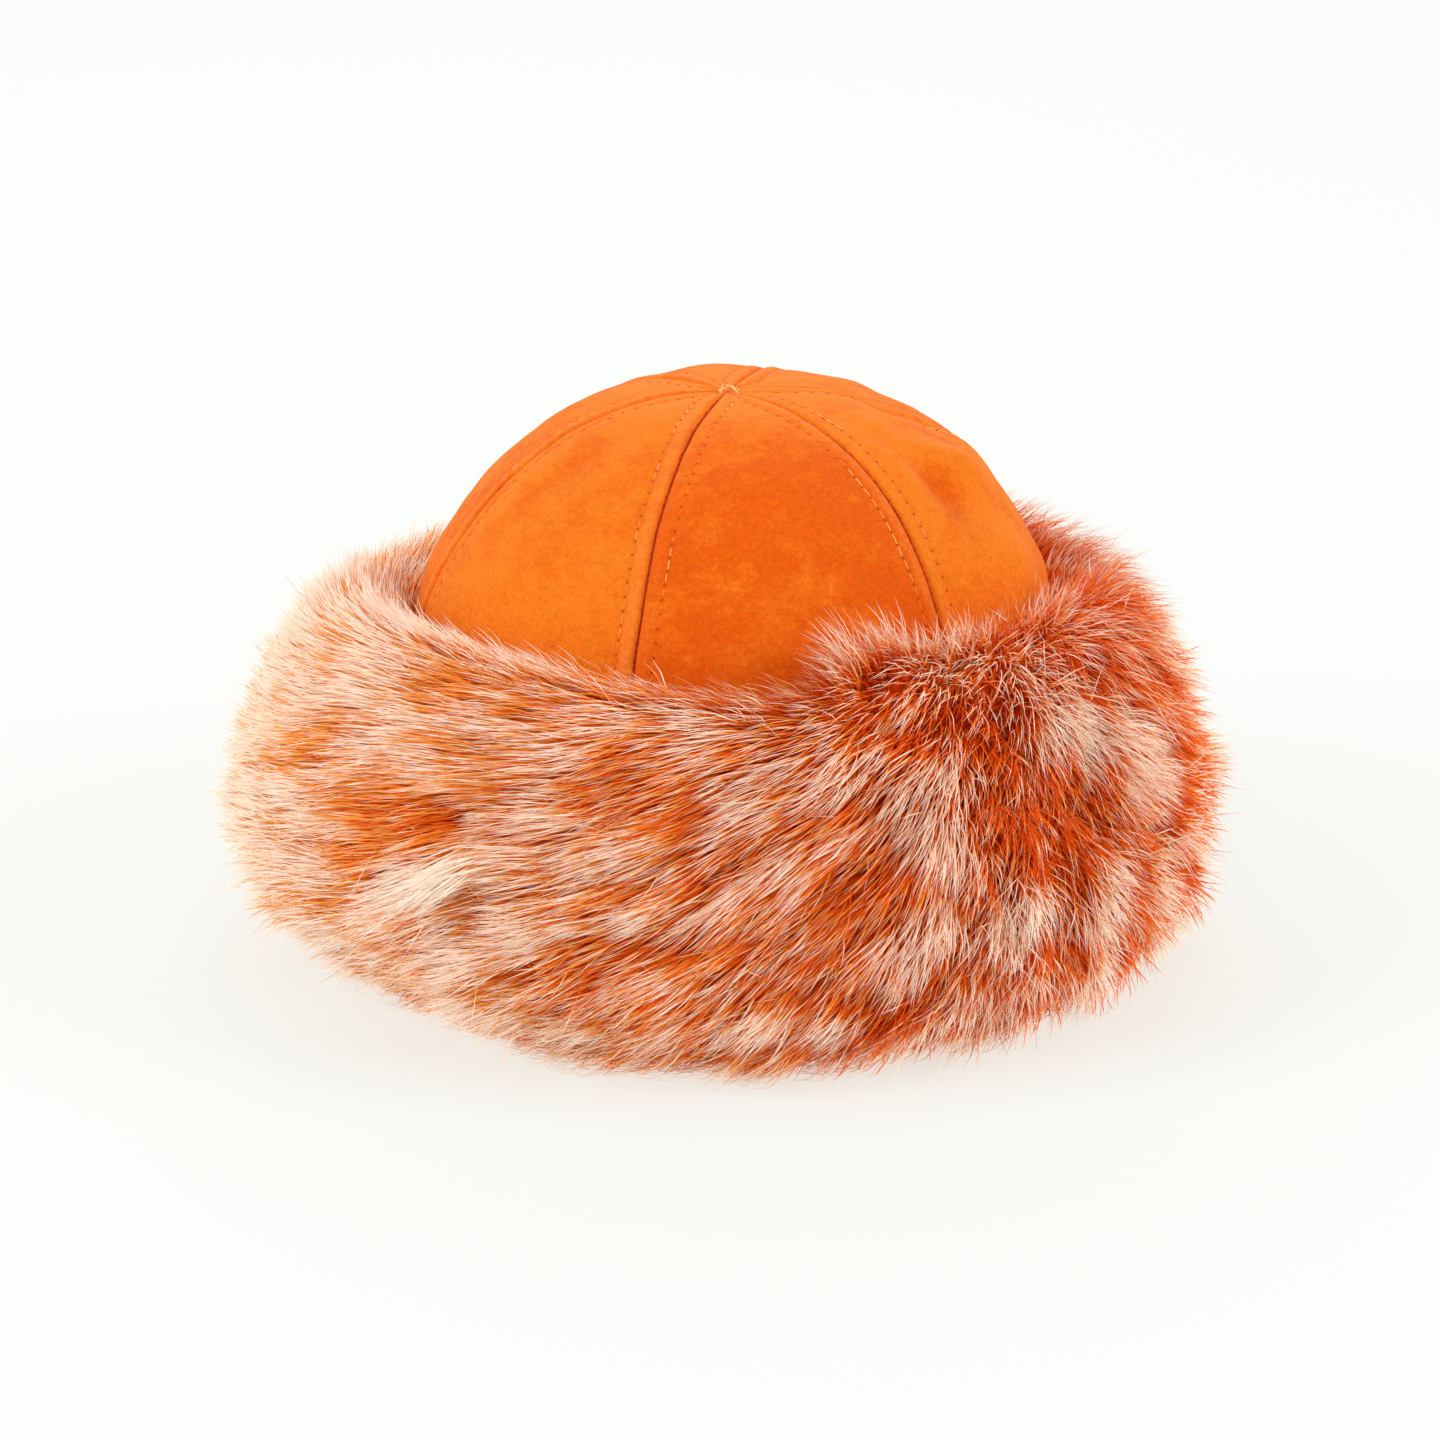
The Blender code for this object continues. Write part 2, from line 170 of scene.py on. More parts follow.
# How the fur lies: the way it falls, how it lifts off the pelt, its length and its frosting.
# A fall of 0 runs round towards the left, 90 straight down and 180 round towards the right.
# Its frost and depth of dye are partly the fur's own colour and partly painted light: paler and lightly
# dyed round the left, where the key light falls, deeper round the right
FUR_LAY = (
    # azimuth, fall in degrees, lift in degrees, length, frost, toss, depth of the dye
    (-150, 14, 24, 0.92, 0.78, 0.14, 0.25),
    (-95, 8, 22, 0.98, 0.84, 0.12, 0.03),
    (-60, 12, 23, 1.05, 0.78, 0.12, 0.08),
    (-30, 20, 22, 1.05, 0.7, 0.14, 0.24),
    (-8, 23, 22, 1, 0.72, 0.15, 0.48),
    (10, 34, 24, 1, 0.66, 0.18, 0.6),
    (24, 48, 29, 0.92, 0.6, 0.24, 0.78),
    (37, 60, 36, 0.82, 0.54, 0.48, 0.9),
    (47, 112, 37, 0.82, 0.54, 0.48, 0.95),
    (62, 138, 31, 0.9, 0.58, 0.38, 0.95),
    (78, 148, 30, 0.92, 0.5, 0.36, 1),
    (95, 155, 26, 0.9, 0.56, 0.28, 0.85),
    (120, 150, 22, 0.88, 0.58, 0.2, 0.65),
    (155, 90, 26, 1, 0.58, 0.18, 0.55),
    (185, 30, 24, 1, 0.6, 0.14, 0.45),
)
# Places where the fur differs: whiter or deeper, standing up or parted, fuller or sunken, turned
# Negative frost also deepens the dye in fur_fields: painted shade in the sunken places, such as the
# many round the right-hand side
FUR_ACCENTS = (
    # azimuth, share, spread round, spread down, frost, lift, fullness, turn of the fall
    (-29, 1.66, 2, 0.04, 1.5, 0.35, 0.4, 34),
    (-33, 1.75, 2.2, 0.038, 1.7, 0.25, 0.3, 26),
    (-38, 1.83, 2.4, 0.038, 1.5, 0.1, 0.15, 8),
    (-32, 1.58, 2.3, 0.045, -1.9, -0.6, -1, 0),
    (-28.5, 1.56, 1.6, 0.03, -0.6, -0.4, -0.5, 0),
    (-27, 1.8, 2.4, 0.04, -0.9, -0.2, -0.3, 0),
    (-41, 1.6, 4, 0.03, -0.4, 0, -0.1, 0),
    (-46, 1.45, 5, 0.08, 0.25, 0.1, 0, 0),
    (0, 0.8, 14, 0.14, -0.25, 0, 0, 0),
    (-22, 1.19, 5, 0.05, -0.9, 0, 0, 0),
    (-37, 1.22, 3.5, 0.05, -0.6, 0, 0, 0),
    (-18, 2.18, 6, 0.06, -0.8, 0, -0.1, 0),
    (-6, 2.12, 4, 0.06, -0.6, 0, -0.1, 0),
    (-8, 1.26, 4, 0.045, -0.7, 0, 0, 0),
    (3, 1.08, 10, 0.14, 0.25, 0, 0, 0),
    (0.5, 1.16, 2.2, 0.04, 0.7, 0.2, 0.1, 0),
    (-66, 2.12, 14, 0.16, 0, 0, 0.2, 0),
    (-42, 2.55, 14, 0.2, 0, 0, -0.3, 0),
    (20, 0.62, 2.2, 0.35, 0.45, 0.8, 0.4, -30),
    (26, 0.65, 4, 0.35, 0.2, 0.4, 0.3, 0),
    (24, 1.26, 2.5, 0.05, -0.6, -0.3, -0.4, 0),
    (18.5, 1.02, 1.5, 0.09, 0.8, 0.3, 0.25, 15),
    (15.5, 1.26, 1.5, 0.1, 0.7, 0.3, 0.2, 15),
    (14, 1.95, 2.4, 0.05, -0.7, -0.3, -0.6, 0),
    (19.5, 2.06, 2.6, 0.06, -0.8, -0.4, -0.7, 0),
    (27, 2.12, 2.4, 0.05, -0.7, -0.3, -0.6, 0),
    (17, 2.25, 5, 0.05, -0.7, 0, -0.2, 0),
    (25, 1.1, 6, 0.12, -0.15, 0.2, 0.1, 0),
    (36, 0.7, 8, 0.15, 0.25, 0.25, 0.1, 0),
    (34, 1.02, 8, 0.22, 0.4, -0.15, -0.15, 0),
    (28, 1.47, 3.2, 0.08, 0.72, 0.15, 0.2, 10),
    (26.5, 1.62, 3, 0.08, 0.75, 0.1, 0.15, 10),
    (34, 1.83, 3.5, 0.07, 0.68, 0.15, 0.2, 10),
    (36, 1.64, 2.5, 0.05, -0.6, 0.1, 0.1, 0),
    (38.5, 1.36, 1.8, 0.09, -0.9, -0.5, -0.7, 0),
    (28, 1.32, 2, 0.05, -0.8, -0.4, -0.5, 0),
    (47, 1.58, 2, 0.05, -0.8, -0.4, -0.6, 0),
    (41.5, 1.66, 2.2, 0.12, -0.9, -0.5, -0.7, 0),
    (50, 1.71, 3, 0.05, -0.8, -0.3, -0.6, 0),
    (45, 1.35, 3.6, 0.08, 0.72, 0.2, 0.25, 0),
    (52, 1.48, 3.6, 0.07, 0.7, 0.1, 0.2, 0),
    (58, 1.6, 3.5, 0.07, 0.65, 0.1, 0.15, 0),
    (57, 1.1, 5, 0.08, 0.4, 0.2, 0.05, 0),
    (48, 1.9, 4.5, 0.08, 0.45, 0.1, 0.1, -20),
    (68, 1.3, 4, 0.1, -0.45, 0, -0.2, 0),
    (55, 1.27, 2, 0.05, -0.8, -0.3, -0.5, 0),
    (60, 1.43, 2, 0.05, -0.8, -0.3, -0.5, 0),
    (62, 1.78, 2.4, 0.05, -0.9, -0.4, -0.8, 0),
    (67, 1.62, 2.4, 0.07, -0.9, -0.4, -0.8, 0),
    (66, 1.98, 3, 0.06, -0.9, -0.3, -0.8, 0),
    (72, 1.36, 2.4, 0.05, -0.9, -0.4, -0.8, 0),
    (74, 1.82, 2.6, 0.06, -1, -0.4, -0.9, 0),
    (79, 1.14, 3, 0.06, -0.9, -0.3, -0.7, 0),
    (80, 1.56, 2.8, 0.07, -1, -0.4, -0.9, 0),
    (85, 1.36, 3, 0.06, -0.9, -0.3, -0.7, 0),
    (84, 1.94, 3, 0.06, -1, -0.3, -0.8, 0),
    (76, 1.44, 2.2, 0.06, 0.5, 0.2, 0.2, 0),
    (78, 1.72, 2.4, 0.06, 0.45, 0.2, 0.2, 0),
)
ACCENT_RISE = 0.01              # how far fur of fullness 1 lifts the pelt under it
STREAK = 0.028                  # length over which the frosting runs on along the fur
SPRINGINESS = 0.55              # how much steeper a hair leaves the pelt than it ends, in radians
MILLIMETRES = 1000.0            # in a metre

# Attributes that Blender makes, and those that hold vectors
BUILT_IN = ("sharp_face", "sharp_edge", "material_index", "custom_normal", "UVMap")
VECTORS = ("way", "flow", "out", "root", "bend", "tip", "spread")


def smooth(value, low, high):
    """A soft step from 0 at low to 1 at high."""
    share = np.clip((value - low) / (high - low), 0.0, 1.0)
    return share * share * (3.0 - 2.0 * share)


def bell(offset, spread):
    """A smooth hump, 1 in the middle."""
    return np.exp(-(offset / spread) ** 2)


def angle_between(first, second):
    """Signed degrees from the second azimuth to the first, within half a turn."""
    return (first - second + 180.0) % 360.0 - 180.0


def polar(azimuth, radius, height):
    """Points at azimuths, distances from the axis and heights."""
    turn = np.radians(azimuth)
    return np.stack([radius * np.sin(turn), -radius * np.cos(turn), height + 0.0 * turn], axis=-1)


def noise_at(points, scale, seed):
    """Smooth noise from -1 to 1 at points, with bumps of about 1 / scale."""
    flat = points.reshape(-1, 3) * scale
    values = [noise.noise(Vector(point) + Vector((seed, seed * 0.7, -seed))) for point in flat]
    return np.array(values).reshape(points.shape[:-1])


def streaks_at(points, way, scale, seed):
    """Noise drawn out along a way, from about -1 to 1."""
    shifts = np.linspace(-STREAK, STREAK, 7) / 2
    return sum(noise_at(points + way * shift, scale, seed) for shift in shifts) / len(shifts) * 1.9


def read_table(table, azimuth):
    """The shares of a table at azimuths, read smoothly between its rows round the circle."""
    rows = np.array(table)
    stops = np.append(rows[:, 0], rows[0, 0] + 360.0)
    shares = np.vstack([rows[:, 1:], rows[:1, 1:]])
    turned = (azimuth - stops[0]) % 360.0 + stops[0]
    index = np.clip(np.searchsorted(stops, turned, side="right") - 1, 0, len(rows) - 1)
    along = (turned - stops[index]) / (stops[index + 1] - stops[index])
    blend = ((1.0 - np.cos(along * pi)) / 2)[..., None]
    return np.moveaxis(shares[index] + (shares[index + 1] - shares[index]) * blend, -1, 0)


def meridian(azimuth, climb):
    """Radius and height of the smooth crown."""
    wall = np.clip(climb / WALL_SHARE, 0.0, 1.0)
    turn = np.clip((climb - WALL_SHARE) / (1.0 - WALL_SHARE), 0.0, 1.0) * pi / 2
    side = np.maximum(0.0, np.cos(np.radians(azimuth - RIGHT_MIDDLE)))
    fullness = DOME_FULLNESS - RIGHT_FULLNESS * side ** 2
    dome = GIRDLE_RADIUS * np.maximum(np.cos(turn), 0.0) ** fullness
    lower = RIM_RADIUS + (GIRDLE_RADIUS - RIM_RADIUS) * np.sin(wall * pi / 2)
    radius = np.where(climb < WALL_SHARE, lower, dome)
    height = np.where(climb < WALL_SHARE, RIM_LIFT + (CROWN_GIRDLE - RIM_LIFT) * wall,
                      CROWN_GIRDLE + (CROWN_TOP - CROWN_GIRDLE) * np.sin(turn) ** TOP_FULLNESS)
    return radius, height


def crown_relief(azimuth, climb):
    """How far the suede stands out of the smooth crown: the gores' puff and the dents."""
    across = (azimuth - FIRST_SEAM) % GORE_ANGLE / GORE_ANGLE
    out = GORE_PUFF * np.sin(across * pi) ** PUFF_FLATNESS
    for dent_azimuth, dent_climb, spread_round, spread_up, share in DENTS:
        hump = bell(angle_between(azimuth, dent_azimuth), spread_round)
        out = out + DENT * share * hump * bell(climb - dent_climb, spread_up)
    above_wall = np.clip((climb - WALL_SHARE) / WALL_FADE, 0.0, 1.0)
    return out * above_wall * np.clip((1.0 - climb) / APEX_FADE, 0.0, 1.0)


def crown_point(azimuth, climb, lift=0.0):
    """Points of the crown's outer face, or a distance in front of it, and the way out there."""
    radius, height = meridian(azimuth, climb)
    step = 0.002
    low_radius, low_height = meridian(azimuth, np.maximum(0.0, climb - step))
    high_radius, high_height = meridian(azimuth, np.minimum(1.0, climb + step))
    slope = np.arctan2(low_radius - high_radius, high_height - low_height)
    out = crown_relief(azimuth, climb) + lift
    points = polar(azimuth, radius + out * np.cos(slope), height + out * np.sin(slope))
    leaning = np.maximum(0.0, (climb - LEAN_FROM) / (1.0 - LEAN_FROM))
    points[..., 1] -= CROWN_LEAN * leaning ** LEAN_CURVE
    points[..., 2] -= CROWN_SINK * bell(1.0 - climb, SINK_SPREAD)
    return points, polar(azimuth, np.cos(slope), np.sin(slope))


def fold_relief(azimuth, climb):
    """How far the folds of the suede stand out."""
    radius, _ = meridian(azimuth, climb)
    up = MERIDIAN_LENGTH * climb
    relief = 0.0 * azimuth
    for first, low, last, high, width, height in FOLDS:
        middle = (first + last) / 2
        start = np.array([0.0, MERIDIAN_LENGTH * low])
        way = np.array([radians(last - first) * FOLD_RADIUS, MERIDIAN_LENGTH * (high - low)])
        aside = np.radians(angle_between(azimuth, first)) * np.maximum(radius, FOLD_RADIUS * 0.5)
        share = ((aside - start[0]) * way[0] + (up - start[1]) * way[1]) / (way @ way)
        held = np.clip(share, 0.0, 1.0)
        apart = np.hypot(aside - start[0] - way[0] * held, up - start[1] - way[1] * held)
        near = np.abs(angle_between(azimuth, middle)) < 90.0
        taper = 0.35 + 0.65 * np.sin(np.clip(held, 0.0, 1.0) * pi) ** 0.8
        relief = relief + height * taper * bell(apart, width) * near
    return relief


def climb_to(azimuth, height):
    """The climbs at which the smooth crown reaches heights."""
    low, high = np.zeros_like(azimuth), np.ones_like(azimuth)
    for _ in range(40):
        middle = (low + high) / 2
        below = meridian(azimuth, middle)[1] < height
        low, high = np.where(below, middle, low), np.where(below, high, middle)
    return low


def pelt_corners(azimuth):
    """Radius and height of the lip, crest, belly and foot of the pelt's section."""
    reach, crest, belly, lip, _ = read_table(CUFF_FORM, azimuth)
    lip_points, _ = crown_point(azimuth, climb_to(azimuth, CUFF_LIP * lip - PELT_LIP), CUFF_GAP)
    return ((np.hypot(lip_points[..., 0], lip_points[..., 1]), lip_points[..., 2]),
            (GIRDLE_RADIUS + CREST_REACH * reach, CUFF_HEIGHT * crest - PELT_CREST),
            (GIRDLE_RADIUS + CUFF_REACH * reach - PELT_BELLY, CUFF_BELLY * belly),
            (GIRDLE_RADIUS + FOOT_REACH + 0.0 * reach, PELT_FOOT + 0.0 * reach))


def quarter(start, end, share, flatness, starts_level):
    """Points of a quarter ellipse, or of a flatter arc where flatness is over 1."""
    turn = np.clip(share, 0.0, 1.0) * pi / 2
    away, towards = np.cos(turn) ** flatness, np.sin(turn) ** flatness
    if starts_level:
        return start[0] + (end[0] - start[0]) * towards, end[1] + (start[1] - end[1]) * away
    return end[0] + (start[0] - end[0]) * away, start[1] + (end[1] - start[1]) * towards


def pelt_section(azimuth, share):
    """Radius and height of the pelt's outer side."""
    lip, crest, belly, foot = pelt_corners(azimuth)
    tuck = read_table(CUFF_FORM, azimuth)[4]
    over = quarter(lip, crest, share, 1.0, False)
    down = quarter(crest, belly, share - 1.0, SHOULDER_SLOPE, True)
    under = quarter(belly, foot, share - 2.0, tuck, False)
    return [np.where(share < 1.0, a, np.where(share < 2.0, b, c))
            for a, b, c in zip(over, down, under)]


def joined_by(operation):
    """A way to write an operation of the nodes with a sign between two values."""
    return lambda value, other: value.apply(operation, other)


class Value:
    """A number, vector, colour or geometry that a node gives, for use in the next ones."""

    def __init__(self, tree, socket):
        self.tree = tree
        self.socket = socket

    def apply(self, operation, *others):
        """The result of an operation on this value and others."""
        kind = "ShaderNodeVectorMath" if self.socket.type == "VECTOR" else "ShaderNodeMath"
        return self.tree.add(kind, (self, *others), operation=operation)

    __add__ = joined_by("ADD")
    __sub__ = joined_by("SUBTRACT")
    __truediv__ = joined_by("DIVIDE")
    __pow__ = joined_by("POWER")
    __lt__ = joined_by("LESS_THAN")
    __gt__ = joined_by("GREATER_THAN")

    def __rsub__(self, other):
        return self.tree.add("ShaderNodeMath", (other, self), operation="SUBTRACT")

    def __mul__(self, other):
        if self.socket.type != "VECTOR" or isinstance(other, tuple):
            return self.apply("MULTIPLY", other)
        return self.tree.add("ShaderNodeVectorMath", {0: self, "Scale": other}, operation="SCALE")


class Tree:
    """A node tree written as expressions: each call adds a node and gives a value of it."""

    def __init__(self, tree):
        self.tree = tree

    def add(self, kind, inputs=(), out=0, **settings):
        """Add a node with its inputs, each a value or a constant, by place or by name."""
        node = self.tree.nodes.new(kind)
        for name, value in settings.items():
            setattr(node, name, value)
        for key, value in inputs.items() if isinstance(inputs, dict) else enumerate(inputs):
            if isinstance(value, Value):
                self.tree.links.new(value.socket, node.inputs[key])
            else:
                node.inputs[key].default_value = value
        return Value(self, node.outputs[out])

    def between(self, first, second, share):
        """The point a share of the way from one vector to another."""
        return self.add("ShaderNodeMix", {0: share, 4: first, 5: second}, 1, data_type="VECTOR")

    def ramp(self, value, low, high, from_value=0.0, to_value=1.0, kind="SMOOTHSTEP"):
        """A step between two values as a number goes from low to high."""
        return self.add("ShaderNodeMapRange", (value, low, high, from_value, to_value),
                        interpolation_type=kind)

    def colour(self, factor, first, second, blend="MIX"):
        """One colour blended over another."""
        return self.add("ShaderNodeMix", {0: factor, 6: first, 7: second}, 2,
                        data_type="RGBA", blend_type=blend)

    def noise(self, place, scale, detail=2.0, roughness=0.5, distortion=0.0):
        """A noise texture's value."""
        values = {"Vector": place, "Scale": scale, "Detail": detail, "Roughness": roughness,
                  "Distortion": distortion}
        return self.add("ShaderNodeTexNoise", values)

    def place(self):
        """The place on the hat that a material colours."""
        return self.add("ShaderNodeTexCoord", out="Object")

    def read(self, *names):
        """The numbers that a material reads off its mesh."""
        return [self.add("ShaderNodeAttribute", out="Fac", attribute_name=name) for name in names]

    def paint(self, colour, height=None, strength=0.5, depth=0.0002):
        """Give the shader its colour and a bump."""
        shader = self.tree.nodes["Principled BSDF"]
        self.tree.links.new(colour.socket, shader.inputs["Base Color"])
        if height is not None:
            inputs = {"Height": height, "Strength": strength, "Distance": depth}
            self.tree.links.new(self.add("ShaderNodeBump", inputs).socket, shader.inputs["Normal"])

    def named(self, name):
        """An attribute of the geometry."""
        return self.add("GeometryNodeInputNamedAttribute", (name,), data_type=kind_of(name))

    def store(self, geometry, **values):
        """The geometry with more attributes."""
        for name, value in values.items():
            inputs = {0: geometry, "Name": name, "Value": value}
            geometry = self.add("GeometryNodeStoreNamedAttribute", inputs, data_type=kind_of(name))
        return geometry

    def sample(self, geometry, name, index):
        """An attribute at another geometry's point."""
        inputs = geometry, self.named(name), index
        return self.add("GeometryNodeSampleIndex", inputs, data_type=kind_of(name))

    def joined(self, *geometries):
        """Geometries as one."""
        joined = self.add("GeometryNodeJoinGeometry")
        for geometry in geometries:
            self.tree.links.new(geometry.socket, joined.socket.node.inputs[0])
        return joined

    def random(self, low, high, seed):
        """A random number for each point."""
        return self.add("FunctionNodeRandomValue", {2: low, 3: high, "Seed": seed}, 1,
                        data_type="FLOAT")

    def random_vector(self, size, seed):
        """A random vector for each point."""
        inputs = {0: (-size,) * 3, 1: (size,) * 3, "Seed": seed}
        return self.add("FunctionNodeRandomValue", inputs, data_type="FLOAT_VECTOR")

    def finish(self, geometry):
        """Shade the geometry smooth, set its material and put it out."""
        shaded = self.add("GeometryNodeSetShadeSmooth", (geometry,))
        painted = self.add("GeometryNodeSetMaterial", {0: shaded})
        output = self.tree.nodes.new("NodeGroupOutput")
        self.tree.links.new(painted.socket, output.inputs[0])
        return self.tree


def kind_of(name):
    """The kind of an attribute."""
    return "FLOAT_VECTOR" if name in VECTORS else "FLOAT"


def geometry_tree(name, **inputs):
    """A Geometry Nodes tree with named inputs, as the tree and the inputs' values."""
    group = bpy.data.node_groups.new(name, "GeometryNodeTree")
    for way in ("INPUT", "OUTPUT"):
        group.interface.new_socket("Geometry", in_out=way, socket_type="NodeSocketGeometry")
    kinds = {float: "NodeSocketFloat", int: "NodeSocketInt"}
    for title, value in inputs.items():
        socket = group.interface.new_socket(title, in_out="INPUT", socket_type=kinds[type(value)])
        socket.default_value = value
    tree = Tree(group)
    outputs = group.nodes.new("NodeGroupInput").outputs
    return tree, {socket.name: Value(tree, socket) for socket in outputs}


def grown(thing, group, values, material):
    """The plain mesh that a tree makes of an object's mesh."""
    grow = thing.modifiers.new(group.name, "NODES")
    grow.node_group = group
    for item in group.interface.items_tree:
        if item.in_out == "INPUT" and item.name in values:
            grow[item.identifier] = values[item.name]
    graph = bpy.context.evaluated_depsgraph_get()
    mesh = bpy.data.meshes.new_from_object(thing.evaluated_get(graph))
    thing.modifiers.remove(grow)
    mesh.materials.clear()
    mesh.materials.append(material)
    return mesh


def new_material(name, roughness, specular, **more):
    """A material with its shader's inputs set, and its tree."""
    material = bpy.data.materials.new(name)
    material.use_nodes = True
    inputs = material.node_tree.nodes["Principled BSDF"].inputs
    for title, value in {"Roughness": roughness, "Specular IOR Level": specular, **more}.items():
        inputs[title].default_value = value
    return material, Tree(material.node_tree)


def opaque(*colours):
    """Colours with their alpha, as a node takes them."""
    return [(*colour, 1.0) for colour in colours]


def add_attributes(mesh, attributes):
    """Write numbers or vectors on a mesh's vertices."""
    for name, values in attributes.items():
        layer = mesh.attributes.new(name, kind_of(name), "POINT")
        layer.data.foreach_set("vector" if name in VECTORS else "value",
                               np.asarray(values, np.float32).ravel())


def grid_mesh(name, points, attributes, closed_round=False, closed_along=False):
    """A mesh of quads over a grid of points, with number or vector attributes on its vertices."""
    rows, columns = points.shape[:2]
    mesh = bpy.data.meshes.new(name)
    down = np.arange(rows if closed_along else rows - 1)[:, None]
    along = np.arange(columns if closed_round else columns - 1)[None, :]
    below, beside = (down + 1) % rows, (along + 1) % columns
    corners = [down * columns + along, below * columns + along,
               below * columns + beside, down * columns + beside]
    faces = np.stack(corners, axis=-1).reshape(-1, 4)
    mesh.from_pydata(points.reshape(-1, 3).tolist(), [], faces.tolist())
    add_attributes(mesh, attributes)
    mesh.shade_smooth()
    return mesh


def new_object(name, mesh):
    """An object of the scene."""
    thing = bpy.data.objects.new(name, mesh)
    bpy.context.scene.collection.objects.link(thing)
    return thing


def keep_attributes(mesh, *names):
    """Remove what the geometry trees wrote on a mesh, apart from the names."""
    for name in [layer.name for layer in mesh.attributes if not layer.is_required]:
        layer = mesh.attributes[name]
        if name not in names and not layer.is_internal and name not in BUILT_IN:
            mesh.attributes.remove(layer)


def finish_piece(thing, slot, *nodes):
    """Let a piece ride on the hat and stand for its nodes."""
    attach(thing, BODY)
    if nodes:
        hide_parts(*nodes)


def metres(name, description, default):
    """A setting that is a length."""
    return FloatProperty(name=name, description=description, default=default, unit="LENGTH")


def tint(name, description, *default):
    """A setting that is a colour."""
    return FloatVectorProperty(name=name, description=description, default=default, size=3,
                               subtype="COLOR", min=0.0, max=1.0)


class CrownSettings(bpy.types.PropertyGroup):
    """The sewn suede crown."""

    seam_depth: metres("Seam depth", "How deep the suede rolls into a seam", 0.0008)
    near_padding: metres("Padding before the seam", "How far the turned-in suede lifts the band "
                         "on a seam's first side", 0.00075)
    far_padding: metres("Padding after the seam", "How far it lifts the band on the other side",
                        0.0004)
    stitch_offset: metres("Stitch offset", "Seam to the topstitching on either side of it", 0.0056)
    stitch_pitch: metres("Stitch pitch", "Needle hole to needle hole", 0.0043)
    thread: metres("Thread", "Thickness of the sewing thread", 0.00046)
    suede_colour: tint("Suede", "The suede's main colour", 0.83, 0.182, 0.009)
    deep_colour: tint("Deep suede", "Where the nap lies away from the light", 0.715, 0.096, 0.0015)
    rubbed_colour: tint("Rubbed suede", "Where the nap is brushed up or rubbed", 0.9, 0.25, 0.024)
    thread_colour: tint("Thread colour", "The topstitching's colour", 1.0, 0.45, 0.14)
    end_colour: tint("Thread ends", "Colour of the thread left at the apex", 1.0, 0.68, 0.36)


class FurSettings(bpy.types.PropertyGroup):
    """The fur of the cuff."""

    length: metres("Length", "Length of the hair", 0.022)
    width: metres("Width", "Width of a hair", 0.00036)
    cover: FloatProperty(
        name="Cover", description="Long hairs on each square metre of the pelt", default=0.52e6)
    locks_apart: metres("Locks apart", "Distance between the locks of the fur", 0.018)
    wisps_apart: metres("Wisps apart", "Distance between the wisps of hair", 0.0068)
    strands_apart: metres("Strands apart", "Distance between the strands within them", 0.0024)
    seed: IntProperty(name="Seed", description="Picks another growth of the fur", default=7)
    root_colour: tint("Root", "Colour of the hair at its root", 0.62, 0.024, 0.001)
    dyed_colour: tint("Dyed hair", "Colour of the hair's middle", 0.91, 0.135, 0.006)
    light_colour: tint("Lightly dyed hair", "Colour of the hair where the dye is light",
                       0.96, 0.3, 0.036)
    golden_colour: tint("Golden hair", "Colour where the dye fades out", 0.97, 0.42, 0.11)
    frost_colour: tint("Frosting", "Colour of the undyed tips", 1.0, 0.75, 0.585)


class StageSettings(bpy.types.PropertyGroup):
    """The camera."""

    elevation: FloatProperty(
        name="Elevation", description="Camera above the horizon", subtype="ANGLE",
        default=radians(18.0))
    distance: metres("Distance", "Camera to the hat", 1.5)
    target: metres("Target", "Height that the camera looks at", 0.07)
    lens: FloatProperty(name="Lens", description="Focal length in millimetres", default=122.25)


HIDDEN_ROWS = 9
SHOWN_ROWS = 112
HALF_COLUMNS = 21
COLUMN_CROWDING = 3.0           # how much closer a gore's columns lie beside its seams
APEX_RADIUS = 0.0002            # where the gores' points end
SEAM_GAP = 0.0001               # between two gores
SEAM_ROLL = 0.0006              # how fast the suede rolls out of a seam
SEAM_SWAY = 0.0005              # how far a seam strays from its line
NARROW_GORE = 0.015             # width at which a gore's seam bands begin to narrow
STITCH_SINK = 0.00032           # how far the thread draws the suede in
STITCH_LENGTH = 0.78            # of a stitch, as a share of the pitch
STITCH_RISE = 0.75              # of a stitch's middle, as a share of the thread's thickness
STITCH_START = 0.55             # radius where the stitches begin, as a share of their offset
STITCH_END = 0.9                # height where they end behind the fur, as a share of its lip's
LOWEST_LIP = 0.96               # lowest height of the fur's lip, as a share of CUFF_LIP
HIDDEN_DEPTH = 0.004            # how far below the pelt's top the close rows begin
GORE_TIP = 0.9995               # highest climb of a gore's rows
SWAY_FADE = 0.03                # distance from the apex at which a seam sways in full
SWAY_RADIUS = 0.004             # nearest that it is worked out to the axis
FOLD_FADE = (0.012, 0.035)      # distances from the apex between which the folds set in
WAVES = 0.0005                  # height of the soft waves in the suede
FINE_WAVES = 0.00016
WAVE_FADE = (0.003, 0.012)      # distances from a seam between which they set in


def gore_rows():
    """The climbs of a gore's rows: a few behind the fur, then close together."""
    hidden = float(climb_to(np.array(0.0), np.array(CUFF_LIP * LOWEST_LIP - PELT_LIP - HIDDEN_DEPTH)))
    behind = np.linspace(0.0, hidden, HIDDEN_ROWS, endpoint=False)
    shown = np.linspace(hidden, 1.0, SHOWN_ROWS + 1)
    return np.concatenate([behind, shown])


def run_from_apex(climb):
    """Distance from the apex down a gore's middle to climbs."""
    fine = np.linspace(0.0, 1.0, 2001)
    radius, height = meridian(0.0 * fine, fine)
    steps = np.hypot(np.diff(radius), np.diff(height))
    runs = np.concatenate([[0.0], np.cumsum(steps)])
    return runs[-1] - np.interp(climb, fine, runs)


def wavering(run, scale, seed):
    """Slow noise along a seam, from -1 to 1."""
    places = np.stack([run, 0.0 * run, 0.0 * run], axis=-1)
    return noise_at(places, scale, seed * 2.3 + 0.7)


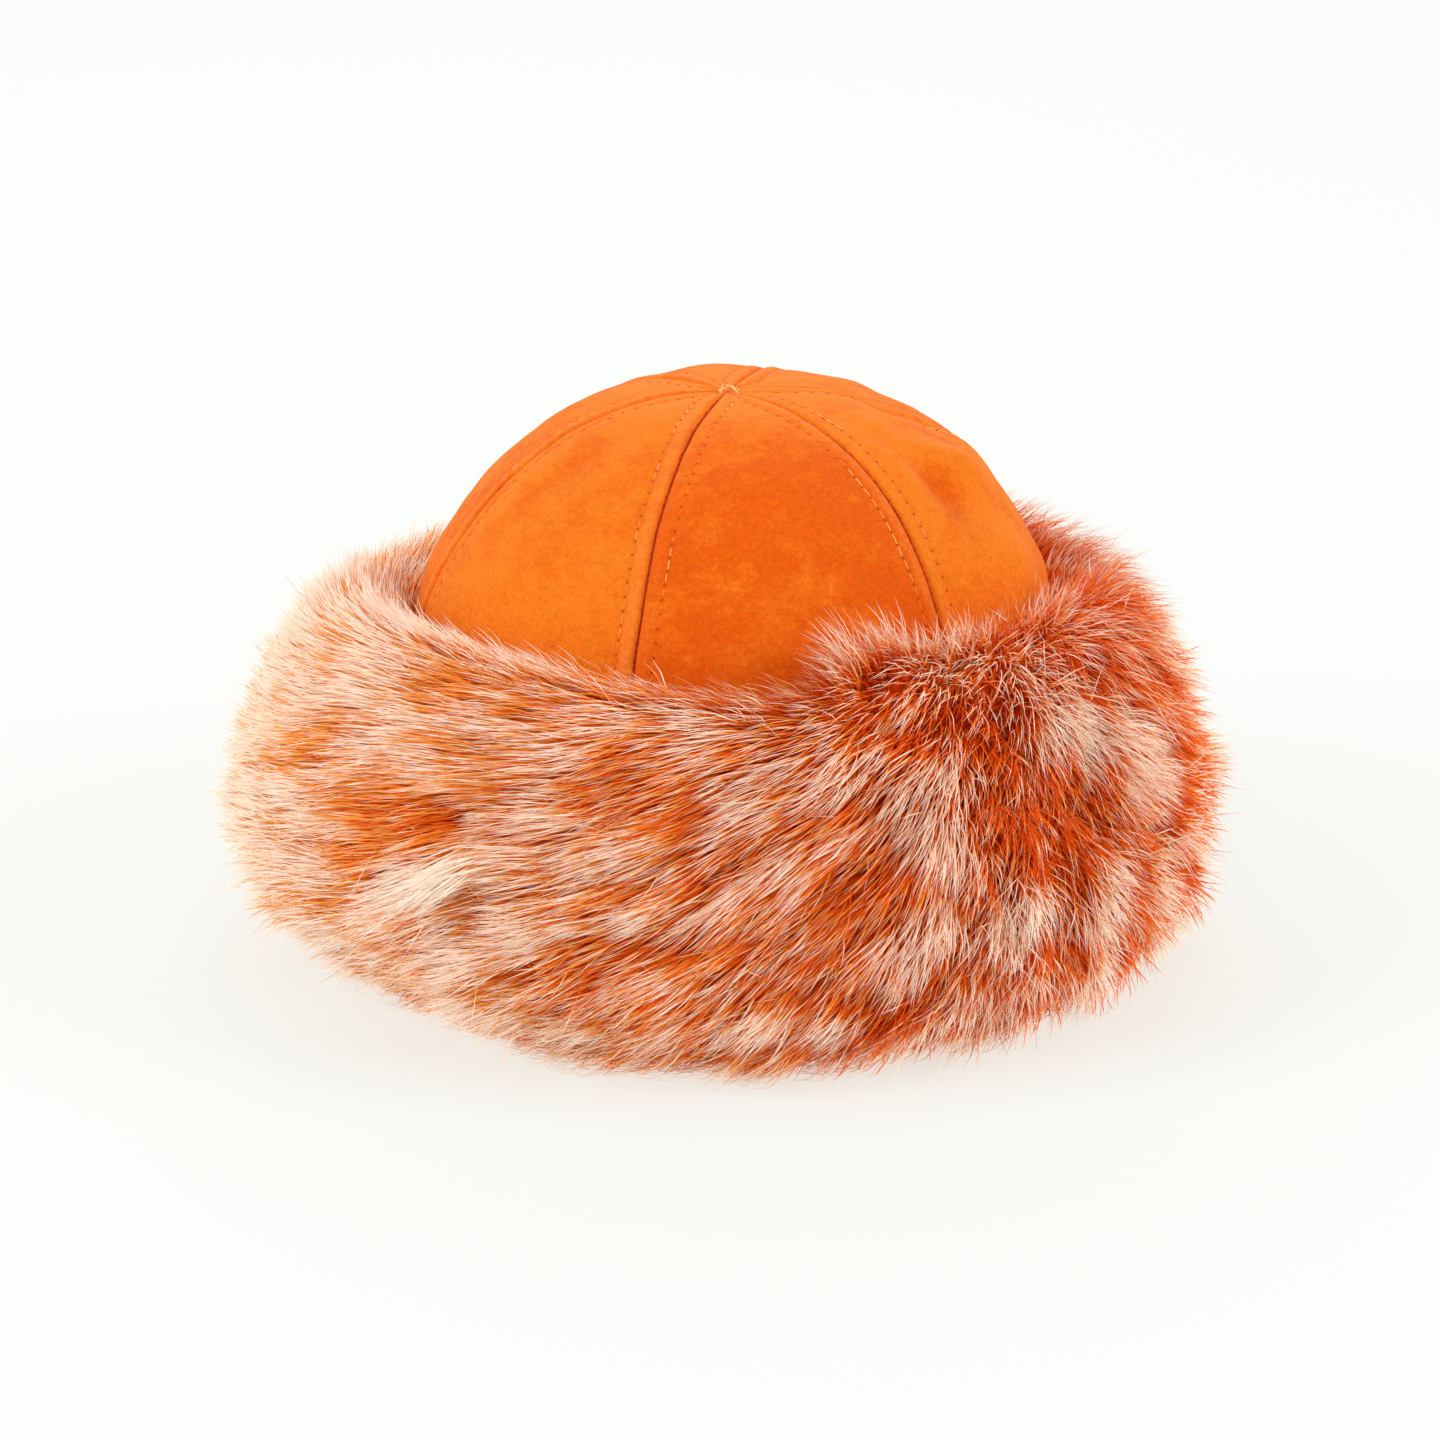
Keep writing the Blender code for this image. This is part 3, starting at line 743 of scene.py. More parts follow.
def seam_azimuth(index, run, radius):
    """Where a seam lies at runs down from the apex, with the sway of its sewing."""
    seam = index % GORES
    sway = SEAM_SWAY * np.clip(run / SWAY_FADE, 0.0, 1.0) * (
        wavering(run, 45.0, seam) + 0.35 * wavering(run, 160.0, seam))
    return FIRST_SEAM + index * GORE_ANGLE + np.degrees(sway / np.maximum(radius, SWAY_RADIUS))


def narrowed(width):
    """How much the bands beside the seams narrow where a gore is this wide."""
    return np.clip(width / NARROW_GORE, 0.05, 1.0)


def seam_relief(settings, index, apart, width, run, padding):
    """How far the suede stands out beside a seam."""
    offset, scale = settings.stitch_offset, narrowed(width)
    near = apart / scale
    full = 1.0 + 0.45 * wavering(run, 60.0, index % GORES + 0.4)
    roll = -settings.seam_depth * np.exp(-(near / SEAM_ROLL) ** 1.3)
    band = smooth(near, 0.2 * SEAM_ROLL, 2.6 * SEAM_ROLL)
    band = band * (1.0 - smooth(near, 0.55 * offset, 1.02 * offset))
    pull = 0.6 + 0.4 * np.cos(2 * pi * run / settings.stitch_pitch)
    stitched = -STITCH_SINK * bell(near - offset, 0.001) * pull
    return scale * (roll + padding * full * band + stitched)


def sewn_gore(settings, index):
    """The grid of one gore's outer face: its points, and what its suede follows."""
    climb = gore_rows()[:, None]
    steps = np.linspace(0.0, 1.0, HALF_COLUMNS + 1)
    crowd = (np.exp(COLUMN_CROWDING * steps) - 1.0) / (np.exp(COLUMN_CROWDING) - 1.0) / 2
    across = np.concatenate([crowd, 1.0 - crowd[-2::-1]])[None, :]
    run = run_from_apex(climb[:, 0])[:, None]
    seam = FIRST_SEAM + index * GORE_ANGLE
    radius = np.maximum(meridian(seam + GORE_ANGLE / 2, climb)[0], APEX_RADIUS)
    start, end = seam_azimuth(index, run, radius), seam_azimuth(index + 1, run, radius)
    width = radius * np.radians(end - start)
    gap = np.minimum(SEAM_GAP / 2, width * 0.1)
    from_start = gap + across * (width - 2 * gap)
    from_end = width - from_start
    azimuth = start + np.degrees(from_start / radius)
    climb, run = climb + 0.0 * across, run + 0.0 * across
    relief = seam_relief(settings, index, from_start, width, run, settings.far_padding)
    relief = relief + seam_relief(settings, index + 1, from_end, width, run, settings.near_padding)
    fold = fold_relief(azimuth, climb) * smooth(run, *FOLD_FADE)
    relief = relief + fold
    climb = np.minimum(climb, GORE_TIP)
    points, _ = crown_point(azimuth, climb)
    waves = noise_at(points, 55.0, 3.1) * WAVES + noise_at(points, 130.0, 8.3) * FINE_WAVES
    nearest = np.minimum(from_start, from_end)
    relief = relief + waves * smooth(nearest, *WAVE_FADE)
    points, _ = crown_point(azimuth, climb, relief)
    first_side = (from_start < from_end) * 1.0
    return points, {"from_seam": nearest / narrowed(width) * MILLIMETRES, "run": run * MILLIMETRES,
                    "first_side": first_side, "fold": fold * MILLIMETRES}


# How deep the colour of each gore's suede is: partly each gore's own tone and partly painted shade,
# most on the front gore, which the side lights reach least
GORE_TONES_AND_SHADE = (0.12, 0.95, 0.1, 0.35, 0.2, 0.45)
SUEDE_SHEEN = {"Sheen Weight": 0.24, "Sheen Roughness": 0.5, "Sheen Tint": (1.0, 0.58, 0.26, 1.0)}
RUBBED_AND_LIT_BAND = (0.88, 0.215, 0.04, 1.0)  # rubbed suede over the padding of a seam, lighter still as a painted highlight on the raised band
HOLE_SHADE = (0.36, 0.045, 0.004, 1.0)  # painted shade in a needle hole
GROOVE_SHADE = (0.62, 0.05, 0.003, 1.0)  # painted shade in the groove of a seam


def suede_material(settings, index):
    """Napped suede: cloudy colour, fine nap, needle holes and rubbed bands beside the seams, with a
    painted highlight on the bands and painted shade in the folds, grooves and stitch lines.
    """
    material, tree = new_material(f"suede_{index + 1}", 0.9, 0.06, **SUEDE_SHEEN)
    moved = tree.place() + (index * 0.31, index * 0.17, 0.0)
    cloud = tree.noise(moved, 30.0, 3.0, 0.55, 0.5)
    blotch = tree.noise(moved, 95.0, 5.0, 0.62, 0.3)
    brushed = tree.noise(moved * (1.0, 1.0, 3.0), 210.0, 4.0, 0.6, 0.5)
    nap = tree.noise(moved, 2100.0, 2.0, 0.6)
    grain = tree.noise(moved, 700.0, 3.0, 0.7)
    near, run, first, fold = tree.read("from_seam", "run", "first_side", "fold")
    main, deep, rubbed = opaque(settings.suede_colour, settings.deep_colour,
                                settings.rubbed_colour)
    # Painted shade: each gore darkens down from the apex by its depth, the front gore most; the suede's
    # own mottling is added below
    tone_and_shade = tree.ramp(run, 18.0, 60.0) * GORE_TONES_AND_SHADE[index]
    # Cloud, blotch and brushing are the suede's own mottling; the fold term is painted shade in the
    # folds' hollows and painted light on their ridges
    for value, low, high, change in ((cloud, 0.35, 0.65, 0.22), (blotch, 0.3, 0.7, 0.26),
                                     (brushed, 0.3, 0.7, 0.18), (fold, -2.6, 2.6, 0.5)):
        tone_and_shade = tone_and_shade + tree.ramp(value, low, high, change, -change)
    colour = tree.colour(tree.add("ShaderNodeClamp", (tone_and_shade,)), main, deep)
    worn = tree.ramp(blotch, 0.54, 0.8, 0.0, 0.35) * tree.ramp(grain, 0.35, 0.65)
    colour = tree.colour(worn, colour, rubbed)
    # The band over each seam's padding: rubbed suede, with a painted highlight on the raised band,
    # stronger on one side of the seam
    worn = tree.ramp(near, 0.5, 1.8) * tree.ramp(near, 5.2, 2.8) * tree.ramp(first, 1.0, 0.0, 0.1, 0.42)
    colour = tree.colour(worn * tree.ramp(brushed, 0.3, 0.6, 0.45, 1.0), colour, RUBBED_AND_LIT_BAND)
    row = (near - settings.stitch_offset * MILLIMETRES).apply("ABSOLUTE")
    hole = run.apply("PINGPONG", settings.stitch_pitch * MILLIMETRES / 2)
    pierced = tree.ramp((row ** 2.0 + hole ** 2.0).apply("SQRT"), 0.6, 0.2)
    # Painted shade along each stitch line, where the thread draws the suede in
    colour = tree.colour(tree.ramp(row, 1.4, 0.1) * 0.3, colour, deep)
    # Painted shade in the needle holes
    colour = tree.colour(pierced * 0.7, colour, HOLE_SHADE)
    # Painted shade in each seam's groove, with a ragged edge
    ragged_groove_shade = near + tree.ramp(grain, 0.25, 0.75, -0.22, 0.22)
    colour = tree.colour(tree.ramp(ragged_groove_shade, 0.55, 0.15, 0.0, 0.9), colour, GROOVE_SHADE)
    shade = tree.ramp(nap, 0.25, 0.75, -0.11, 0.11) + tree.ramp(grain, 0.3, 0.7, -0.1, 0.1) + 1.0
    grey = tree.add("ShaderNodeCombineColor", (shade, shade, shade))
    colour = tree.colour(1.0, colour, grey, "MULTIPLY")
    tree.paint(colour, nap * 0.4 + grain * 0.6 - pierced * 1.5, 0.5, 0.0004)
    return material


class TOQUE_OT_crown(bpy.types.Operator):
    """Cut, pad and sew the suede gores of the crown"""

    bl_idname = "toque.crown"
    bl_label = "Suede crown"

    def execute(self, context):
        settings = context.scene.toque_crown
        for index, node in enumerate(PANELS):
            points, follows = sewn_gore(settings, index)
            mesh = grid_mesh(f"suede_gore_{index + 1}", points, follows)
            gore = new_object(f"suede_gore_{index + 1}", mesh)
            face_outwards(mesh)
            mesh.materials.append(suede_material(settings, index))
            wall = gore.modifiers.new("suede", "SOLIDIFY")
            wall.thickness = SUEDE
            wall.offset = -1.0
            finish_piece(gore, "orange_suede", node)
        return {"FINISHED"}


def face_outwards(mesh):
    """Turn a mesh's faces away from the crown's middle."""
    bm = bmesh.new()
    bm.from_mesh(mesh)
    middle = Vector((0.0, 0.0, CROWN_GIRDLE))
    bm.faces.ensure_lookup_table()
    face = bm.faces[len(bm.faces) // 2]
    if face.normal.dot(face.calc_center_median() - middle) < 0.0:
        bmesh.ops.reverse_faces(bm, faces=bm.faces)
    bm.to_mesh(mesh)
    bm.free()


def stitch_marks(settings):
    """Where the stitches lie: their middles, the way they run and the way out, and their sink."""
    pitch, offset = settings.stitch_pitch, settings.stitch_offset
    fine = np.linspace(0.0, 1.0, 4001)
    runs = run_from_apex(fine)
    count = int(run_from_apex(climb_to(np.array(0.0), np.array(CUFF_LIP * STITCH_END))) / pitch)
    middles, ways, outs, sinks = [], [], [], []
    for index in range(GORES):
        for side, padding in ((-1.0, settings.near_padding), (1.0, settings.far_padding)):
            ends = []
            for shift in (0.0, -pitch / 2, pitch / 2):
                run = (np.arange(2, count) + 0.5) * pitch + shift
                climb = np.interp(-run, -runs, fine)
                radius = meridian(FIRST_SEAM + index * GORE_ANGLE + 0.0 * climb, climb)[0]
                width = radius * radians(GORE_ANGLE)
                apart = offset * narrowed(width)
                azimuth = seam_azimuth(index, run, radius) + np.degrees(apart / radius) * side
                lift = seam_relief(settings, index, apart, width, run, padding)
                ends.append(crown_point(azimuth, climb, lift + fold_relief(azimuth, climb)))
            way = ends[2][0] - ends[1][0]
            keep = radius > offset * STITCH_START
            middles.append(ends[0][0][keep])
            ways.append(way[keep] / np.linalg.norm(way[keep], axis=1)[:, None])
            outs.append(ends[0][1][keep])
            sinks.append(np.full(keep.sum(), 0.5 + 0.5 * side))
    return [np.concatenate(each) for each in (middles, ways, outs, sinks)]


def stitch_tree():
    """Lay a short arc of thread at each mark, from needle hole to needle hole."""
    tree, given = geometry_tree("stitches", Length=0.003, Thread=0.0005, Rise=0.0003)
    half, radius, out = given["Length"] * 0.5, given["Thread"] * 0.5, tree.named("out")
    deep = radius * -1.6
    start, top, end = [tree.add("ShaderNodeCombineXYZ", place) for place in
                       ((half * -1.0, 0.0, deep), (0.0, 0.0, given["Rise"]), (half, 0.0, deep))]
    arc = tree.add("GeometryNodeCurveQuadraticBezier", (5, start, top, end))
    ring = tree.add("GeometryNodeCurvePrimitiveCircle", {"Resolution": 6, "Radius": radius})
    thread = tree.add("GeometryNodeCurveToMesh",
                      {"Curve": arc, "Profile Curve": ring, "Fill Caps": True})
    turned = tree.add("FunctionNodeAlignRotationToVector", {"Vector": tree.named("way")}, axis="X")
    turned = tree.add("FunctionNodeAlignRotationToVector", {"Rotation": turned, "Vector": out},
                      axis="Z", pivot_axis="X")
    sunk = out * (tree.named("sink") * (radius * -0.5))
    marks = tree.add("GeometryNodeSetPosition", {0: given["Geometry"], "Offset": sunk})
    points = tree.add("GeometryNodeMeshToPoints", (marks,))
    laid = tree.add("GeometryNodeInstanceOnPoints",
                    {"Points": points, "Instance": thread, "Rotation": turned})
    return tree.finish(tree.add("GeometryNodeRealizeInstances", (laid,)))


def thread_material(name, pale, worn):
    """Twisted sewing thread, paler in some places than in others."""
    material, tree = new_material(name, 0.6, 0.2)
    place = tree.place()
    pale_share = tree.ramp(tree.noise(place, 60.0, 3.0), 0.4, 0.66)
    tree.paint(tree.colour(pale_share, *opaque(worn, pale)), tree.noise(place, 3500.0, 1.0))
    return material


# Thread ends left at the apex, each from one point to another past a third
THREAD_ENDS = (
    # x, y, height above the apex, in millimetres
    ((-1.2, 2.6, 1.0), (0.2, 0.0, 2.9), (3.3, -5.4, 0.5)),
    ((-1.0, 2.4, 1.0), (-1.8, -0.4, 2.7), (-2.2, -4.4, 0.5)),
    ((-2.5, -3.8, 0.6), (-0.6, -1.0, 2.2), (1.7, 0.6, 1.4)),
    ((-1.9, -4.6, 0.5), (-2.8, -3.0, 1.2), (-2.6, -1.4, 0.9)),
    ((0.6, -0.6, 1.2), (1.6, -2.2, 2.0), (3.6, -2.6, 0.7)),
)


def thread_ends(settings, material):
    """The crossed ends of the sewing thread, fastened off where the gores meet."""
    bm = bmesh.new()
    radius, sides, steps = settings.thread * 0.5, 6, 6
    apex = Vector((0.0, -CROWN_LEAN, CROWN_TOP - CROWN_SINK))
    for first, past, last in THREAD_ENDS:
        first, past, last = (Vector(point) * 0.001 for point in (first, past, last))
        rings = []
        for step in range(steps + 1):
            share = step / steps
            middle = first * (1 - share) ** 2 + past * 2 * share * (1 - share) + last * share ** 2
            way = ((past - first) * (1 - share) + (last - past) * share).normalized()
            side = way.cross(Vector((0.0, 0.0, 1.0))).normalized()
            up = side.cross(way)
            middle += apex
            turns = [2 * pi * corner / sides for corner in range(sides)]
            rings.append([bm.verts.new(middle + (side * cos(turn) + up * sin(turn)) * radius)
                          for turn in turns])
        for ring, following in zip(rings, rings[1:]):
            for corner in range(sides):
                beside = (corner + 1) % sides
                bm.faces.new((ring[corner], ring[beside], following[beside], following[corner]))
        bm.faces.new(reversed(rings[0]))
        bm.faces.new(rings[-1])
    bmesh.ops.recalc_face_normals(bm, faces=bm.faces)
    mesh = bpy.data.meshes.new("apex_thread_ends")
    bm.to_mesh(mesh)
    bm.free()
    mesh.shade_smooth()
    mesh.materials.append(material)
    return new_object("apex_thread_ends", mesh)


class TOQUE_OT_stitches(bpy.types.Operator):
    """Topstitch the crown's seams and fasten the thread off at the apex"""

    bl_idname = "toque.stitches"
    bl_label = "Topstitching"

    def execute(self, context):
        settings = context.scene.toque_crown
        middles, ways, outs, sinks = stitch_marks(settings)
        marks = bpy.data.meshes.new("stitch_marks")
        marks.from_pydata(middles.tolist(), [], [])
        add_attributes(marks, {"way": ways, "out": outs, "sink": sinks})
        carrier = new_object("stitch_marks", marks)
        material = thread_material("thread", settings.thread_colour, settings.suede_colour)
        values = {"Length": settings.stitch_pitch * STITCH_LENGTH, "Thread": settings.thread,
                  "Rise": settings.thread * STITCH_RISE}
        mesh = grown(carrier, stitch_tree(), values, material)
        bpy.data.objects.remove(carrier)
        keep_attributes(mesh)
        finish_piece(new_object("topstitching", mesh), "thread")
        material = thread_material("thread_end", settings.end_colour, settings.thread_colour)
        finish_piece(thread_ends(settings, material), "thread")
        return {"FINISHED"}


def pelt_grid():
    """The pelt's grid: azimuths, shares, its section as radii and heights, and the way down it."""
    azimuth = (-180.0 + 360.0 * np.arange(PELT_COLUMNS) / PELT_COLUMNS)[None, :]
    over, down, under = PELT_ROWS
    share = np.concatenate([np.linspace(0.0, 1.0, over, endpoint=False),
                            np.linspace(1.0, 2.0, down, endpoint=False),
                            np.linspace(2.0, 3.0, under)])[:, None]
    azimuth, share = np.broadcast_arrays(azimuth, share)
    azimuth, share = azimuth + 0.0, share + 0.0
    radius, height = pelt_section(azimuth, share)
    step = 0.02
    before = pelt_section(azimuth, np.maximum(share - step, 0.0))
    after = pelt_section(azimuth, np.minimum(share + step, 3.0))
    run = np.hypot(after[0] - before[0], after[1] - before[1])
    downward = (after[0] - before[0]) / run, (after[1] - before[1]) / run
    return azimuth, share, (radius, height), downward


def accents_at(azimuth, share):
    """What the accents add at places: frost, lift, fullness and turn."""
    added = np.zeros((4, *azimuth.shape))
    for middle, down, spread_round, spread_down, *amounts in FUR_ACCENTS:
        near = bell(angle_between(azimuth, middle), spread_round) * bell(share - down, spread_down)
        added += np.array(amounts)[:, None, None] * near
    return added


def fur_fields(settings, azimuth, share, points, downward):
    """What the hairs follow at each place of the pelt."""
    fall, lift, length, frost, toss, depth = read_table(FUR_LAY, azimuth)
    whiter, rise, full, turn = accents_at(azimuth, share)
    crest, foot = bell(share - 0.85, 0.55), smooth(share, 1.9, 3.0)
    # Which way it flows over the pelt, and which way it stands off it
    wander = noise_at(points, 26.0, 1.7) * 13.0 + noise_at(points, 70.0, 5.2) * 11.0
    angle = np.radians(fall * (1.0 - 0.6 * crest) * (1.0 - 0.35 * foot) + wander + turn)[..., None]
    flow = polar(azimuth + 90.0, -1.0, 0.0) * np.cos(angle) + polar(azimuth, *downward) * np.sin(angle)
    near_crown = (1.0 - smooth(share, 0.0, 1.2))[..., None]
    out = polar(azimuth, -downward[1], downward[0]) * (1.0 - near_crown)
    out = out + polar(azimuth, 0.35, 0.9) * near_crown
    out /= np.linalg.norm(out, axis=-1)[..., None]
    # Flecks of frost and creases between tufts, drawn out along it except where it is tousled
    toss = toss + 0.14 * smooth(share, 1.6, 2.1)
    flecks = streaks_at(points, flow, 95.0, 4.4) * 0.42 + streaks_at(points, flow, 200.0, 8.2) * 0.55
    frost = frost + flecks * (1.0 + toss) + noise_at(points, 24.0, 6.1) * 0.12
    frost = frost + noise_at(points, 90.0, 3.3) * 1.4 * toss
    tousled = smooth(toss, 0.15, 0.45)
    tufts = streaks_at(points, flow, 85.0, 2.9) + 0.4 * streaks_at(points, flow, 190.0, 5.6)
    tufts = tufts * (1.0 - tousled) + noise_at(points, 62.0, 9.4) * tousled
    crease = 1.0 - np.sqrt(np.minimum(1.0, np.abs(tufts) * 2.2))
    crease = crease * (1.0 - 0.85 * bell(share - 0.95, 0.4))
    # Painted shade: the hair in the creases between tufts is less frosted and more deeply dyed
    crease_shade = 0.9 * np.maximum(0.0, crease - 0.25)
    # The small frost added just below the lip is painted light on the band that the lip's hair shades
    frost = frost + 0.06 * bell(share - 0.7, 0.35) + whiter - 0.6 * (1.0 - smooth(share, 0.15, 0.45))
    frost = frost - crease_shade
    # The depth of the dye also carries painted shade: deeper in the creases and where an accent's frost
    # is negative
    depth = np.clip(depth + crease_shade - 0.3 * np.minimum(whiter, 1.0), 0.0, 1.0)
    # Tousled along the crest, with painted light on the tousled crest's hair, and paler and less dyed
    # towards the foot, partly as painted light on the fur's underside
    toss = toss + 0.12 * bell(share - 0.5, 0.35) + 0.25 * tousled * bell(share - 0.95, 0.25)
    paler_foot = 0.6 * smooth(share, 1.95, 2.45) * (1.0 - smooth(depth, 0.45, 0.7))
    depth = depth * (1.0 - paler_foot) - 0.45 * tousled * bell(share - 0.95, 0.3)
    frost = frost + (0.15 + 0.7 * flecks) * smooth(share, 1.7, 2.2) + 0.05 * (1.0 - depth)
    relief = 1.0 + streaks_at(points, flow, 60.0, 7.7) * 0.3 + 0.25 * (0.5 - crease) + rise
    lift = lift * relief * (1.0 - 0.35 * foot) + 5.0 * crest + 3.0 * bell(share - 0.88, 0.16)
    length = length * np.maximum(1.0 + full, 0.4) * (1.0 - 0.15 * crease)
    reach = settings.length * length * (1.0 - 0.12 * foot) * (0.72 + 0.28 * smooth(share, 0.0, 1.3))
    cover = 1.0 - 0.75 * smooth(share, 2.5, 2.95)
    return {"flow": flow, "out": out, "lift": np.radians(lift), "reach": reach, "frost": frost,
            "toss": toss, "cover": cover, "azimuth": azimuth % 360.0, "crease": crease,
            "full": full, "depth": depth}


def pelt_object(settings):
    """The pelt as a closed ring round the crown, with what its hairs follow."""
    azimuth, share, section, downward = pelt_grid()
    points = polar(azimuth, *section)
    fields = fur_fields(settings, azimuth, share, points, downward)
    inside = smooth(share, 0.0, 0.35) * (1.0 - smooth(share, 2.6, 3.0))
    sunk = TUFT_DEPTH * (0.75 + 1.2 * fields["toss"]) * fields["crease"] - ACCENT_RISE * fields["full"]
    points = points - fields["out"] * (sunk * inside)[..., None]
    lip = read_table(CUFF_FORM, azimuth[:1])[3]
    top = climb_to(azimuth[:1], CUFF_LIP * lip - PELT_LIP)
    wall_share = np.linspace(0.0, 1.0, PELT_WALL_ROWS + 1)[:-1, None]
    wall, _ = crown_point(azimuth[:1] + 0.0 * wall_share, top * wall_share, CUFF_GAP)
    wall[0, :, 2] = PELT_FOOT
    hidden = {name: np.zeros(wall.shape if values.ndim == 3 else wall.shape[:2])
              for name, values in fields.items()}
    fields = {name: np.concatenate([values, hidden[name]]) for name, values in fields.items()}
    mesh = grid_mesh("pelt", np.concatenate([points, wall]), fields, True, True)
    bm = bmesh.new()
    bm.from_mesh(mesh)
    bmesh.ops.recalc_face_normals(bm, faces=bm.faces)
    bm.to_mesh(mesh)
    bm.free()
    return new_object("fur_pelt", mesh)


def blade_object(name, levels):
    """One hair as a flat tapered blade: its places along and aside are attributes."""
    places = [(side * width, along) for along, width in levels for side in (-1.0, 1.0)] + [(0.0, 1.0)]
    mesh = bpy.data.meshes.new(name)
    last = 2 * len(levels)
    faces = [(row, row + 1, row + 3, row + 2) for row in range(0, last - 2, 2)]
    faces.append((last - 2, last - 1, last))
    mesh.from_pydata([(aside, along, 0.0) for aside, along in places], [], faces)
    add_attributes(mesh, dict(zip(("aside", "along"), zip(*places))))
    return new_object(name, mesh)


def comb(tree, points, seed, loose, length=1.0, guides=None, drawn=None, apart=0.25, stray=0.0):
    """Give each root a bend and a tip, drawn towards those of the nearest guide."""
    root = tree.add("GeometryNodeInputPosition")
    out, flow, toss = tree.named("out"), tree.named("flow"), tree.named("toss")
    reach = tree.named("reach") * length * tree.random(1.0 - loose, 1.0 + 0.6 * loose, seed)
    raised = tree.random(-loose, loose, seed + 1)
    lift = tree.named("lift") + raised
    astray = tree.random(0.0, 1.0, seed + 6) < toss * 6.0 * stray
    swing = toss * (loose * 5.0) + loose * 0.5 + astray * STRAY_SWING
    swing = tree.random_vector(1.0, seed + 2) * swing

    def heading(angle):
        level = flow * angle.apply("COSINE")
        return (level + out * angle.apply("SINE") + swing).apply("NORMALIZE")

    tip = root + heading(lift) * reach
    bend = root + heading(lift + SPRINGINESS) * (reach * 0.45)
    tone = tree.named("frost") + tree.random(-loose, loose, seed + 3) + raised * RAISED_FROST
    if guides is not None:
        nearest = tree.add("GeometryNodeSampleNearest", (guides, root))
        guide_root, guide_bend, guide_tip, guide_tone = [
            tree.sample(guides, name, nearest) for name in ("root", "bend", "tip", "tone")]
        shift = root - guide_root
        drawn = tree.random(0.5, 1.15, seed + 4) * drawn * (1.0 - astray)
        held_tip = guide_root + (guide_tip - guide_root) * length
        held_bend = guide_root + (guide_bend - guide_root) * length
        tip = tree.between(tip, held_tip + shift * apart, drawn)
        bend = tree.between(bend, held_bend + shift * 0.8, drawn)
        tone = tree.add("ShaderNodeMix", {0: 0.65, 2: tone, 3: guide_tone}, data_type="FLOAT")
        tone = tone + tree.random(-loose, loose, seed + 5)
    return tree.store(points, root=root, bend=bend, tip=tip, tone=tone)


WOOL_LENGTH = 0.46              # of the short wool, as a share of the long hair's
WOOL_WIDTH = 1.9
WOOL_COVER = 1.4                # wool hairs for each long hair where the fur is evenly frosted
# A hair's tone is up to the first of these on wool, and from one of the others to a band above
# it on long hair
WOOL_TONE = 0.26
GOLDEN_TONE = 0.3               # where the dye is light
DEEP_TONE = 0.66                # where it is deep
TONE_BAND = 0.32
STRAY = 0.03                    # share of the long hairs that stray from their strand
STRAY_SWING = 0.5
LEAST_PLACE = (-10.0, -10.0, 0.0004)  # keeps the hair just above the floor
RAISED_FROST = 2.2              # how much whiter hair is for each radian that it lies above the rest


